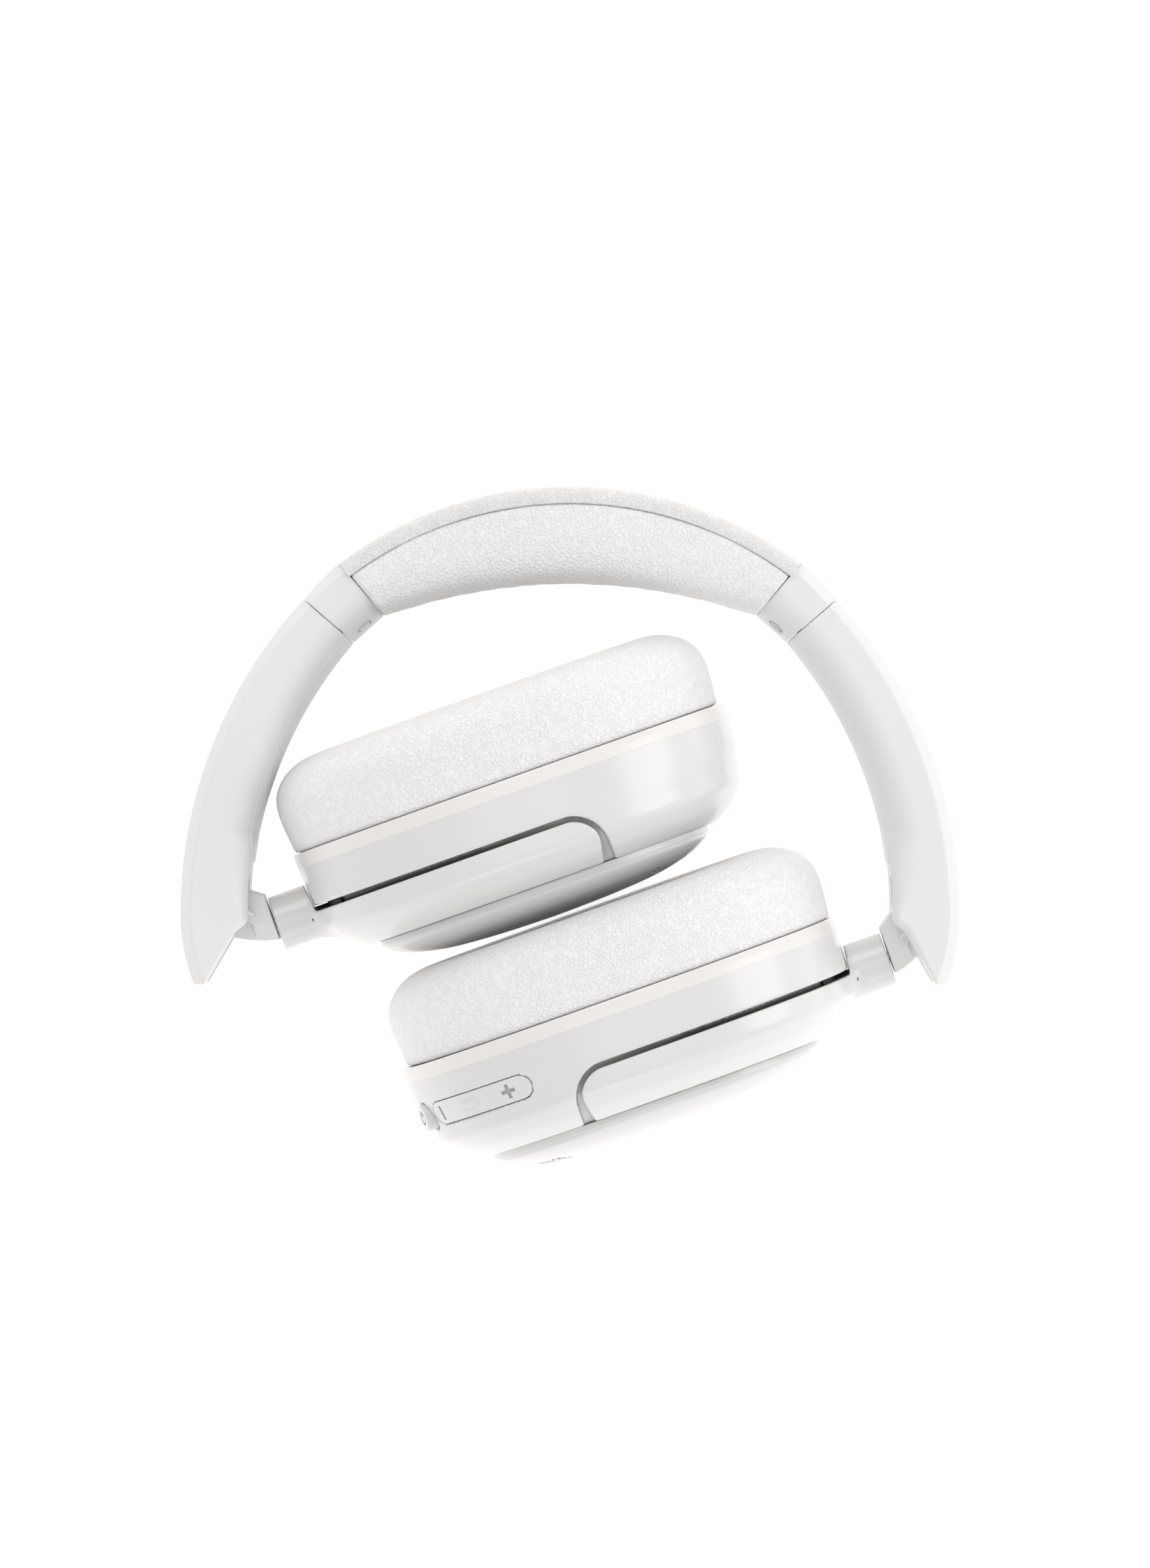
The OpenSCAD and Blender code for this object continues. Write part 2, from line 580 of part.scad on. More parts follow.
// The rocker follows the wall between two points of the oval
rocker_mid = [34.9, 27.4];
rocker_angle = 40.4;       // its chord turns this much away from the stem's direction
module rocker_frame() translate([rocker_mid[0], control_height, rocker_mid[1]])
    rotate([0, rocker_angle, 0]) children();
module pill(length, width) {
    square([length - width, width], center = true);
    for (s = [-1, 1]) translate([s*(length - width)/2, 0]) circle(d = width);
}
rocker_depth = 5;          // pivot of the rocker below the wall
rocker_pin_radius = 0.8;
module rocker_axis() rocker_frame() translate([0, 0, -rocker_depth]) rotate([90, 0, 0]) children();
module rocker_prism(e) rocker_frame() translate([0, 0, -13])
    linear_extrude(height = 24) pill(rocker_length + 2*e, rocker_width + 2*e);
module volume_rocker() color(white_plastic) on_right() cup_frame() difference() {
    union() {
        difference() {
            intersection() {
                rocker_prism(0);
                loft(grown(0.4));
            }
            loft(grown(-1.5));
        }
        rocker_frame() translate([-2, -rocker_width/2 + 0.3, -rocker_depth - 1.8])
            cube([4, rocker_width - 0.6, rocker_depth + 3]);
    }
    rocker_axis() cylinder(r = rocker_pin_radius + fit, h = 20, center = true);
}
module rocker_pin() color(steel) on_right() cup_frame() rocker_axis()
    cylinder(r = rocker_pin_radius, h = 8.4, center = true);
module rocker_switches() color(dark_plastic) on_right() cup_frame() rocker_frame() {
    translate([-7.5, -2.4, -11]) cube([15, 4.8, 1.2]);
    for (s = [-1, 1]) translate([s*6, 0, -10]) cylinder(r = 1.2, h = 2.2);
}
port_angle = 18;
port_spot = [44.6, -14];
port_width = 8.94;
port_height = 3.16;
port_depth = 6.5;
port_wall = 0.3;
module port_frame() translate([port_spot[0], control_height, port_spot[1]])
    rotate([0, port_angle, 0]) rotate([0, 90, 0]) children();
module usb_port() color(steel) on_right() cup_frame() port_frame() {
    translate([0, 0, -port_depth]) difference() {
        linear_extrude(height = port_depth) pill(port_width, port_height);
        translate([0, 0, 0.8]) linear_extrude(height = port_depth)
            pill(port_width - 2*port_wall, port_height - 2*port_wall);
    }
    translate([-3.3, -0.35, -port_depth + 0.5]) cube([6.6, 0.7, 4.4]);
}
module cup_shell_right() color(white_plastic) {
    difference() {
        on_right() cup_shell();
        on_right() cup_frame() {
            rocker_prism(gap);
            rocker_axis() cylinder(r = rocker_pin_radius + press, h = 8.5, center = true);
            button_frame() translate([0, 0, -3]) cylinder(d = button_diameter + 2*gap, h = 12);
            button_frame() translate([0, 0, -9]) cylinder(d = button_diameter + 3, h = 6.1);
            port_frame() translate([0, 0, -port_depth - 0.5]) linear_extrude(height = 20)
                pill(port_width + 2*fit, port_height + 2*fit);
        }
    }
}

headband_frame();
spring_band();
band_rivets();
headband_cover();
headband_cushion();
collar_left();
collar_right();
slider_guide_left();
slider_guide_right();
collar_screws();
arm_shell_left();
arm_shell_right();
arm_liner_left();
arm_liner_right();
slider_strip_left();
slider_strip_right();
strip_screws_left();
strip_screws_right();
hinge_pin_left();
hinge_pin_right();
knuckle_left();
knuckle_right();
swivel_shaft_left();
swivel_shaft_right();
swivel_clip_left();
swivel_clip_right();
yoke_left();
yoke_right();
tilt_pins_left();
tilt_pins_right();
cup_shell_left();
cup_shell_right();
cup_cap_left();
cup_cap_right();
baffle_left();
baffle_right();
baffle_screws_left();
baffle_screws_right();
ear_cushion_left();
ear_cushion_right();
ear_scrim_left();
ear_scrim_right();
driver_frame_left();
driver_frame_right();
driver_magnet_left();
driver_magnet_right();
diaphragm_left();
diaphragm_right();
microphone_left();
microphone_right();
battery();
circuit_board();
usb_port();
volume_rocker();
rocker_pin();
rocker_switches();
power_button();
power_switch();
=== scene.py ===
import math

import bmesh
import bpy
import numpy as np
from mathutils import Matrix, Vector


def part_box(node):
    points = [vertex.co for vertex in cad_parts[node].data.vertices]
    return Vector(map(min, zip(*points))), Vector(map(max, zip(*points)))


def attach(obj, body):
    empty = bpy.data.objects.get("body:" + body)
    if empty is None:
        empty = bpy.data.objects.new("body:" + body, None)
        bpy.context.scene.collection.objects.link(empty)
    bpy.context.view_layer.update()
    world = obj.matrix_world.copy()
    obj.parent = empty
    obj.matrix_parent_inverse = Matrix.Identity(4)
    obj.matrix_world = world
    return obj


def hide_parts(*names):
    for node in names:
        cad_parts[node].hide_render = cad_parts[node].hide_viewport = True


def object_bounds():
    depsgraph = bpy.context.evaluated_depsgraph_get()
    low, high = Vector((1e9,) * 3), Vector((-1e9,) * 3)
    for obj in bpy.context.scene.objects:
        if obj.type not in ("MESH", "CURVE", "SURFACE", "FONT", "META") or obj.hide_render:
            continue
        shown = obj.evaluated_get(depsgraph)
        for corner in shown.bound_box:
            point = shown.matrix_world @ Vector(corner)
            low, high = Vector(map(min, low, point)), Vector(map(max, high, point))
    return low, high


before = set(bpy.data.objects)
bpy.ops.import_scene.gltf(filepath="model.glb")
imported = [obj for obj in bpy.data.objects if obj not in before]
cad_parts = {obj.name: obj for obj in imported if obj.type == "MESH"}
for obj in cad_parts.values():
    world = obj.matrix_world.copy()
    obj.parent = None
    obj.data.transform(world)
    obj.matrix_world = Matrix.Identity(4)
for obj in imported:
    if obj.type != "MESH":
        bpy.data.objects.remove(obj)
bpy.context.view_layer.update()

# ---------------------------------------------------------------- places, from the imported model
hinge_at = np.array([-72.8, -16.3])
pin_low, pin_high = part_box("hinge_pin_left")
lift = np.array([(pin_low[i] + pin_high[i]) * 500 for i in range(3)]) - [*hinge_at, 0]
stem_offset, cup_reach = 7.58, 65.05
fold_angle = {"left": 19.6, "right": -19.6}


def turned(points, angle):
    """Points turned about Z by an angle in degrees."""
    c, s = math.cos(math.radians(angle)), math.sin(math.radians(angle))
    x, y, z = points.T
    return np.stack([x * c - y * s, x * s + y * c, z], 1)


def to_row(points, side, place):
    """Drawing millimetres to row metres. place is the points' own frame: band, stem or cup."""
    p = np.array(points, float)
    if place == "cup":
        p = p + [cup_reach, -stem_offset, 0]
    if place != "band":
        p = turned(p, fold_angle[side]) + [*hinge_at, 0]
    if side == "right":
        p[:, 0] *= -1
    return (p + lift) / 1000


# ---------------------------------------------------------------- implicit solids
def rmax(a, b, r):
    """Intersection of two solids with its edge rounded by r."""
    u, v = np.maximum(a + r, 0), np.maximum(b + r, 0)
    return np.sqrt(u * u + v * v) - r + np.minimum(np.maximum(a, b) + r, 0)


def rmin(a, b, r):
    """Union of two solids with a fillet of radius r."""
    return -rmax(-a, -b, r)


def cut(a, b, r):
    """a without b."""
    return rmax(a, -b, r)


def gradient(f, p, h):
    d = np.eye(3) * h
    return np.stack([(f(*(p + d[i]).T) - f(*(p - d[i]).T)) / (2 * h) for i in range(3)], 1)


CORNERS = np.array([[i, j, k] for i in (0, 1) for j in (0, 1) for k in (0, 1)])
EDGES = [(a, b) for a in range(8) for b in range(a + 1, 8)
         if np.abs(CORNERS[a] - CORNERS[b]).sum() == 1]


def net(f, low, high, step):
    """Vertices, quads and normals of the surface where f is 0, inside a box."""
    axes = [np.arange(low[i] - step, high[i] + 2 * step, step) for i in range(3)]
    v = f(*np.meshgrid(*axes, indexing="ij")).astype(np.float64)
    inside = v < 0
    count = sum(inside[c[0]:inside.shape[0] - 1 + c[0], c[1]:inside.shape[1] - 1 + c[1],
                       c[2]:inside.shape[2] - 1 + c[2]].astype(np.int8) for c in CORNERS)
    cells = np.argwhere((count > 0) & (count < 8))
    index = np.full(count.shape, -1)
    index[tuple(cells.T)] = np.arange(len(cells))
    at = [v[tuple((cells + c).T)] for c in CORNERS]
    total, hits = np.zeros((len(cells), 3)), np.zeros(len(cells))
    for a, b in EDGES:
        crossed = (at[a] < 0) != (at[b] < 0)
        t = np.where(crossed, at[a] / np.where(crossed, at[a] - at[b], 1), 0)
        total += crossed[:, None] * (CORNERS[a] + t[:, None] * (CORNERS[b] - CORNERS[a]))
        hits += crossed
    points = (cells + total / hits[:, None]) * step + [a[0] for a in axes]
    quads = []
    for axis in range(3):
        u, w = (axis + 1) % 3, (axis + 2) % 3
        first, second = [slice(None)] * 3, [slice(None)] * 3
        first[axis], second[axis] = slice(0, -1), slice(1, None)
        a, b = inside[tuple(first)], inside[tuple(second)]
        edge = np.argwhere(a != b)
        eu, ew = edge[:, u], edge[:, w]
        edge = edge[(eu > 0) & (ew > 0) & (eu < index.shape[u]) & (ew < index.shape[w])]
        out = a[tuple(edge.T)]
        du, dw = np.eye(3, dtype=int)[[u, w]]
        ring = np.stack([index[tuple((edge - d).T)] for d in (du * 0, du, du + dw, dw)], 1)
        quads.append(np.where(out[:, None], ring, ring[:, ::-1]))
    quads = np.concatenate(quads)
    start = points.copy()
    for _ in range(3):
        g = gradient(f, points, 0.02)
        shift = f(*points.T)[:, None] * g / np.maximum((g * g).sum(1), 0.05)[:, None]
        points = np.clip(points - shift, start - step, start + step)
    g = gradient(f, points, 0.05)
    return points, quads, g / np.linalg.norm(g, axis=1)[:, None]


# ---------------------------------------------------------------- mesh building
def mesh_object(name, points, faces, flip=False, normals=None):
    """A smooth mesh object from row points."""
    mesh = bpy.data.meshes.new(name)
    faces = [tuple(f[::-1]) if flip else tuple(f) for f in faces]
    mesh.from_pydata(points.tolist(), [], faces)
    mesh.polygons.foreach_set("use_smooth", np.ones(len(mesh.polygons), bool))
    if normals is not None:
        mesh.normals_split_custom_set_from_vertices(normals.tolist())
    piece = bpy.data.objects.new(name, mesh)
    bpy.context.scene.collection.objects.link(piece)
    return piece


def finish_piece(piece, material, slot, body, *nodes):
    """Gives a piece its material and body, and hides the CAD nodes that it stands for. The slot is
    not used.
    """
    piece.data.materials.clear()
    piece.data.materials.append(material)
    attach(piece, body)
    if nodes:
        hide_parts(*nodes)
    return piece


def row_normals(normals, side, place):
    """Drawing normals as row normals."""
    n = turned(normals, fold_angle[side]) if place != "band" else normals.copy()
    if side == "right":
        n[:, 0] *= -1
    return n


def solid_pair(name, shape, place, sides=("left", "right")):
    """One implicit solid as objects on the given sides, keyed by side."""
    points, quads, normals = shape
    return {s: mesh_object(f"{name}_{s}", to_row(points, s, place), quads.tolist(),
                           s == "right", row_normals(normals, s, place)) for s in sides}


def grid_faces(rows, columns, wrap_rows=False):
    """Quads between rows of points, each row a closed loop."""
    faces = []
    for r in range(rows if wrap_rows else rows - 1):
        for c in range(columns):
            d, e = (c + 1) % columns, (r + 1) % rows
            faces.append((r * columns + c, r * columns + d, e * columns + d, e * columns + c))
    return faces


def spline(points, count):
    """A smooth curve through points, evenly spaced along its length."""
    p = np.array(points, float)
    p = np.vstack([2 * p[0] - p[1], p, 2 * p[-1] - p[-2]])
    fine = []
    for i in range(1, len(p) - 2):
        t = np.linspace(0, 1, 40, endpoint=False)[:, None]
        a, b, c, d = p[i - 1:i + 3]
        fine.append(0.5 * (2 * b + (c - a) * t + (2 * a - 5 * b + 4 * c - d) * t ** 2
                           + (3 * b - 3 * c + d - a) * t ** 3))
    fine = np.vstack([*fine, p[-2][None]])
    along = np.r_[0, np.cumsum(np.linalg.norm(np.diff(fine, axis=0), axis=1))]
    at = np.linspace(0, along[-1], count)
    return np.stack([np.interp(at, along, fine[:, i]) for i in range(fine.shape[1])], 1)


# ---------------------------------------------------------------- materials
def material(name, colour, second, rough, **extra):
    """A Principled material whose colour and roughness vary by noise, in row coordinates."""
    m = bpy.data.materials.new(name)
    m.use_nodes = True
    nodes, links = m.node_tree.nodes, m.node_tree.links
    shader = nodes["Principled BSDF"]
    place = nodes.new("ShaderNodeTexCoord")
    noise = nodes.new("ShaderNodeTexNoise")
    noise.inputs["Scale"].default_value = extra.get("cloud", 60)
    noise.inputs["Detail"].default_value = 3
    links.new(place.outputs["Object"], noise.inputs["Vector"])
    tint = nodes.new("ShaderNodeMix")
    tint.data_type = "RGBA"
    tint.inputs["A"].default_value = (*colour, 1)
    tint.inputs["B"].default_value = (*second, 1)
    links.new(noise.outputs["Fac"], tint.inputs["Factor"])
    links.new(tint.outputs["Result"], shader.inputs["Base Color"])
    fine = nodes.new("ShaderNodeTexNoise")
    fine.inputs["Scale"].default_value = extra.get("fine", 2500)
    fine.inputs["Detail"].default_value = 2
    links.new(place.outputs["Object"], fine.inputs["Vector"])
    level = nodes.new("ShaderNodeMapRange")
    level.inputs["To Min"].default_value = rough[0]
    level.inputs["To Max"].default_value = rough[1]
    links.new(fine.outputs["Fac"], level.inputs["Value"])
    links.new(level.outputs["Result"], shader.inputs["Roughness"])
    for socket, value in extra.get("sockets", {}).items():
        shader.inputs[socket].default_value = value
    bump = nodes.new("ShaderNodeBump")
    bump.inputs["Strength"].default_value = extra.get("bump", 0.1)
    bump.inputs["Distance"].default_value = extra.get("depth", 0.00002)
    links.new(fine.outputs["Fac"], bump.inputs["Height"])
    links.new(bump.outputs["Normal"], shader.inputs["Normal"])
    m["height"] = bump.name
    m["place"] = place.name
    m["tint"] = tint.name
    return m


def leather(name, colour, second, rough, pebble, grain):
    """Fine grained synthetic leather: pebbles between creases, over slow waves."""
    m = material(name, colour, second, rough, cloud=45, fine=5000, bump=1.0, depth=grain,
                 sockets={"Specular IOR Level": 0.42, "Sheen Weight": 0.12, "Sheen Roughness": 0.5,
                          "Subsurface Weight": 0.0})
    nodes, links = m.node_tree.nodes, m.node_tree.links
    place, bump = nodes[m["place"]], nodes[m["height"]]
    warp = nodes.new("ShaderNodeTexNoise")
    warp.inputs["Scale"].default_value = pebble * 0.5
    links.new(place.outputs["Object"], warp.inputs["Vector"])
    bend = nodes.new("ShaderNodeVectorMath")
    bend.operation = "MULTIPLY_ADD"
    bend.inputs[1].default_value = (0.6 / pebble,) * 3
    links.new(warp.outputs["Color"], bend.inputs[0])
    links.new(place.outputs["Object"], bend.inputs[2])
    cells = nodes.new("ShaderNodeTexVoronoi")
    cells.feature = "DISTANCE_TO_EDGE"
    cells.inputs["Scale"].default_value = pebble
    links.new(bend.outputs["Vector"], cells.inputs["Vector"])
    crease = nodes.new("ShaderNodeMapRange")
    crease.interpolation_type = "SMOOTHSTEP"
    crease.inputs["From Max"].default_value = 0.28
    links.new(cells.outputs["Distance"], crease.inputs["Value"])
    fine = nodes.new("ShaderNodeTexNoise")
    fine.inputs["Scale"].default_value = pebble * 2.2
    fine.inputs["Detail"].default_value = 3
    links.new(place.outputs["Object"], fine.inputs["Vector"])
    height = nodes.new("ShaderNodeMath")
    height.operation = "MULTIPLY_ADD"
    height.inputs[1].default_value = 0.45
    links.new(fine.outputs["Fac"], height.inputs[0])
    links.new(crease.outputs["Result"], height.inputs[2])
    links.new(height.outputs["Value"], bump.inputs["Height"])
    return m


def weave(name, colour, second, rough, pitch):
    """Plain weave from two crossing waves."""
    m = material(name, colour, second, rough, cloud=200, bump=1.0, depth=0.0002)
    nodes, links = m.node_tree.nodes, m.node_tree.links
    place, bump = nodes[m["place"]], nodes[m["height"]]
    heights = []
    for direction in ("X", "Z"):
        wave = nodes.new("ShaderNodeTexWave")
        wave.bands_direction = direction
        wave.inputs["Scale"].default_value = pitch
        wave.inputs["Distortion"].default_value = 0.3
        links.new(place.outputs["Object"], wave.inputs["Vector"])
        heights.append(wave)
    height = nodes.new("ShaderNodeMath")
    height.operation = "MULTIPLY"
    links.new(heights[0].outputs["Fac"], height.inputs[0])
    links.new(heights[1].outputs["Fac"], height.inputs[1])
    links.new(height.outputs["Value"], bump.inputs["Height"])
    links.new(height.outputs["Value"], nodes[m["tint"]].inputs["Factor"])
    return m


white, off_white = (0.765, 0.75, 0.75), (0.735, 0.72, 0.72)
clear_coat = {"Coat Weight": 0.25, "Coat Roughness": 0.12}
gloss, shell_painted_shade_skin = (material(name, white, off_white, (0.2, 0.3), cloud=40, bump=0.05,
                              sockets=clear_coat) for name in ("gloss_white", "shell_white_painted_shade"))

# Painted shade: the shells' colour darkens towards near black by a value stored on their points as
# depth, in the channel behind the yoke where shade falls
tree = shell_painted_shade_skin.node_tree
painted_shade_input = tree.nodes.new("ShaderNodeAttribute")
painted_shade_input.attribute_name = "depth"
shadow = tree.nodes.new("ShaderNodeMix")
shadow.data_type = "RGBA"
# colour of the painted shade in the channel
shadow.inputs["B"].default_value = (0.09, 0.088, 0.088, 1)
tree.links.new(painted_shade_input.outputs["Fac"], shadow.inputs["Factor"])
tree.links.new(tree.nodes[shell_painted_shade_skin["tint"]].outputs["Result"], shadow.inputs["A"])
tree.links.new(shadow.outputs["Result"], tree.nodes["Principled BSDF"].inputs["Base Color"])
satin = material("satin_white", (0.83, 0.815, 0.81), (0.80, 0.785, 0.78), (0.38, 0.5), cloud=50,
                 bump=0.25)
grey = material("grey_white", (0.79, 0.77, 0.77), (0.74, 0.725, 0.725), (0.4, 0.5), cloud=60,
                bump=0.25)
cushion_skin = leather("cushion_leather", (0.92, 0.91, 0.905), (0.88, 0.87, 0.865), (0.5, 0.62),
                       1050, 0.00013)
cover_skin = leather("cover_leather", (0.84, 0.83, 0.825), (0.79, 0.78, 0.775), (0.48, 0.6), 1150,
                     0.00013)
rim_skin = material("rim_white", (0.85, 0.82, 0.80), (0.82, 0.79, 0.77), (0.25, 0.35), cloud=40,
                    bump=0.05, sockets={"Coat Weight": 0.2, "Coat Roughness": 0.15})
# Grey for the printed signs, also used as painted shade on the walls of the microphone holes
print_and_hole_shade_grey = material("print_and_hole_shade_grey", (0.46, 0.45, 0.45), (0.42, 0.41, 0.41), (0.4, 0.5), cloud=300)
cloth = weave("speaker_weave", (0.30, 0.30, 0.30), (0.62, 0.62, 0.62), (0.8, 0.95), 350)
metal = material("brushed_steel", (0.60, 0.61, 0.63), (0.48, 0.49, 0.51), (0.22, 0.42), cloud=300,
                 bump=0.3, sockets={"Metallic": 1.0})
dark = material("dark_plastic", (0.035, 0.035, 0.037), (0.02, 0.02, 0.021), (0.4, 0.55), cloud=120,
                bump=0.3)
board_green = material("solder_mask", (0.02, 0.12, 0.05), (0.03, 0.17, 0.07), (0.25, 0.4),
                       cloud=500)
cell_wrap = material("cell_wrap", (0.05, 0.12, 0.28), (0.04, 0.09, 0.22), (0.3, 0.4), cloud=150)
film = material("diaphragm_film", (0.45, 0.46, 0.48), (0.36, 0.37, 0.39), (0.25, 0.35), cloud=300)

# ---------------------------------------------------------------- outlines of the band and arms
band_center = np.array([0, -9.2])
pad_center, pad_radius = np.array([0, -58.9]), 109.2
arm_center, arm_radius = np.array([15.1, -17.8]), 94.7
liner_center, liner_radius = np.array([21.96, -19.54]), 87.66
tip_center, tip_radius = np.array([-41.6, -17.8]), 38.0
arm_top = np.array([[-54.3, 46.6], [-44.3, 37.9]])
collar_top = np.array([[-47.2, 53.9], [-38.2, 43.4]])
tip_line = np.array([[-68.3, -21.4], [-74.4, -31.8]])
tip_step = np.array([[-66.5, -20.0], [-68.3, -21.4]])
tip_low = -32.1
arm_width, chamfer = 30.0, 2.2
root_half = 0.7071              # sine and cosine of 45 degrees
slot_width, slot_top = 16.6, -10.4
liner_end, liner_step = -7.4, 0.6
seam = 0.16                     # width of the visible joint between a collar and its arm
strip_mid, strip_end = np.array([-43.9, 43.4]), 40      # where the steel strip enters an arm
tunnel_start = 18.2


def beyond(x, y, a, b, shift=0.0):
    """Distance past the line from a to b, on its left side, moved by shift."""
    d = (b - a) / np.linalg.norm(b - a)
    return -d[1] * (x - a[0]) + d[0] * (y - a[1]) - shift


def circle_at(x, y, center):
    """Distance from a centre in the XY plane."""
    return np.sqrt((x - center[0]) ** 2 + (y - center[1]) ** 2)


def outer_side(x, y):
    """Distance outside an arm's outer contour, in the XY plane."""
    main = circle_at(x, y, arm_center) - arm_radius
    return np.where(y > arm_center[1], main, circle_at(x, y, tip_center) - tip_radius)


def inner_side(x, y, step):
    """Distance past an arm's inner contour, which lies step further out below the liner."""
    arc = liner_radius + step - circle_at(x, y, liner_center)
    oblique = np.minimum(beyond(x, y, *tip_line), beyond(x, y, *tip_step))
    return rmax(arc, oblique, 0.6)


def d_section(outside, inside, z, width, fullness=2.5, start=0.45):
    """A bar between two contours: flat and chamfered outside, rounded inside from a share on."""
    depth, t = -outside, np.maximum(-outside - inside, 0.6)
    share = np.clip(depth / t, -0.2, 1.3)
    q = np.clip((share - start) / (1 - start), 0, None)
    reach = np.abs(z) / (width / 2)
    bulge = np.sqrt(q * q + reach ** fullness)
    nose = (bulge - 1) * 6.5
    flank = np.abs(z) - width / 2
    body = rmax(np.where(q > 0, np.maximum(nose, flank), flank), outside, 0.15)
    slope = (outside + np.abs(z) - width / 2 + chamfer) * root_half
    return rmax(body, slope, 0.1)


def arm_solid(x, y, z, step):
    """A whole arm, squarer in section towards its tip."""
    fullness = 2.5 + 5 * np.clip((-1 - y) / 6, 0, 1)
    start = 0.45 + 0.42 * np.clip((-8 - y) / 10, 0, 1)
    body = d_section(outer_side(x, y), inner_side(x, y, step), z, arm_width, fullness, start)
    body = rmax(body, tip_low - y, 0.3)
    return rmax(body, seam - beyond(x, y, arm_top[1], arm_top[0]), 0.12)


def arm_shell(x, y, z):
    """An arm's shell, recessed for its liner, with the knuckle's slot and the strip's tunnel."""
    body = arm_solid(x, y, z, liner_step * np.clip((11.2 - np.abs(z)) / 2.5, 0, 1))
    slot = rmax(np.abs(z) - slot_width / 2, y - slot_top, 1.2)
    body = cut(body, slot, 0.35)
    u, v = (x - strip_mid[0]) * root_half, (y - strip_mid[1]) * root_half
    across, along = u - v, -u - v
    tunnel = np.maximum(np.abs(across) - 0.6, np.abs(z) - 5.1)
    tunnel = np.maximum(tunnel, np.maximum(-along - strip_end, along - tunnel_start))
    return cut(body, tunnel, 0.1)


def arm_liner(x, y, z):
    """A layer over the inner face of an arm, standing out of it by liner_step."""
    skin = arm_solid(x, y, z, 0.0)
    nose = circle_at(x, y, liner_center) - liner_radius - 4.6
    body = rmax(rmax(skin, -skin - 1.1, 0.1), np.abs(z) - 10.4, 0.25)
    return rmax(rmax(body, nose, 0.2), liner_end - y, 0.25)


def circle_through(a, b, c):
    """Centre and radius of the circle through three points."""
    m = np.array([b - a, c - a]) * 2
    v = np.array([b @ b - a @ a, c @ c - a @ a])
    center = np.linalg.solve(m, v)
    return center, np.linalg.norm(a - center)


collar_mid = np.array([-50.92, 50.41])
collar_center, collar_radius = circle_through(collar_top[0], collar_mid, arm_top[0])
dimple_at, dimple_radius, dimple_depth = np.array([-41.95, 40.8]), 1.75, 1.25


def collar_bar(x, y, z):
    """A collar's section carried on past both its ends."""
    outside = circle_at(x, y, collar_center) - collar_radius
    return d_section(outside, beyond(x, y, collar_top[1], arm_top[1]), z, arm_width)


heights = np.linspace(0, 16, 641)
dimple_top = heights[collar_bar(*dimple_at[:, None], heights) < 0].max()


def collar(x, y, z):
    """A collar with its round dimple, open inside for the headband's end."""
    body = rmax(collar_bar(x, y, z), beyond(x, y, arm_top[1], arm_top[0]), 0.12)
    body = rmax(body, -beyond(x, y, collar_top[1], collar_top[0]), 0.12)
    ball = (dimple_radius ** 2 + dimple_depth ** 2) / (2 * dimple_depth)
    above = z - dimple_top - ball + dimple_depth
    body = cut(body, np.sqrt(circle_at(x, y, dimple_at) ** 2 + above ** 2) - ball, 0.18)
    inner = rmax(np.abs(z) - 9.8, np.abs(circle_at(x, y, band_center) - 72) - 3.6, 0.2)
    return cut(body, inner, 0.1)


# ---------------------------------------------------------------- outlines of the cups
half, inset, power = 46.5, 8.5, 2.35
far_flare = 0.9                 # the far end of a cup leans out this much more above its middle
rim, bottom = 12.0, -10.5
channel_top, yoke_top = 0.8, -0.3
arm_end, arm_corner, yoke_slant = 14.4, 6.4, 0.2
channel = channel_top - yoke_top
stem_radius, stem_start = 5.675, -54.4


def profile(points, soften, crisp_above=99.0):
    """A table of half length over height through points, with rounded corners below a height."""
    p = np.array(points, float)
    y = np.arange(-16, 16, 0.05)
    slope = (p[1, 0] - p[0, 0]) / (p[1, 1] - p[0, 1])
    a = np.interp(y, p[:, 1], p[:, 0])
    a = np.where(y < p[0, 1], p[0, 0] + slope * (y - p[0, 1]), a)
    kernel = np.exp(-0.5 * (np.arange(-60, 61) * 0.05 / soften) ** 2)
    smooth = np.convolve(np.pad(a, 60, "edge"), kernel / kernel.sum(), "valid")
    weight = np.clip((y - crisp_above) / 2, 0, 1)
    a = smooth * (1 - weight) + a * weight
    return y, a, np.gradient(a, y)


def oval_solid(table):
    """Distance outside a stack of ovals whose half length follows a table."""
    ys, a_of, slope_of = table

    def f(x, y, z):
        a, slope = np.interp(y, ys, a_of), np.interp(y, ys, slope_of)
        b = a - inset
        flare = np.where(x > 0, far_flare, 0.0) * np.clip((y + 1.5) / 5, 0, 1)
        u, w = np.abs(x) / (a + flare) + 1e-6, np.abs(z) / b + 1e-6
        g = (u ** power + w ** power) ** (1 / power)
        k = g ** (1 - power)
        gx, gz = k * u ** (power - 1) / a, k * w ** (power - 1) / b
        gy = -k * (u ** power / a + w ** power / b) * slope
        return (g - 1) / np.maximum(np.sqrt(gx * gx + gy * gy + gz * gz), 1e-4)
    return f


outer_table = profile([[half - 9, bottom], [half - 4.7, -7.9], [half - 1.2, -4.5],
                       [half - 0.6, channel_top], [half, 8.9], [half - 0.1, rim]], 0.6, 4.0)
outer_wall = oval_solid(outer_table)
core_wall = oval_solid(profile([[half - 11.7, bottom], [half - 8.7, -7.9], [half - 4.9, -4.5],
                                [half - 3.9, channel_top]], 0.5))
yoke_inside = oval_solid(profile([[half - 10.4, bottom], [half - 7.4, -7.9], [half - 4.2, -4.5],
                                  [half - 3.3, channel_top]], 0.5))
cavity_wall = oval_solid(profile([[half - 13.6, bottom + 2], [half - 10.5, -7.9],
                                  [half - 6.7, -4.5], [half - 5.7, 2.2], [half - 2.3, 4.5],
                                  [half - 2.3, rim]], 0.3))
opening_wall = oval_solid(profile([[30.5, -12], [30.5, 12]], 0.3))


def side_view(x, y, e):
    """The side area that a yoke's arms fill, widened by e."""
    return rmax(x - arm_end - e, y - yoke_top - e, arm_corner + e)


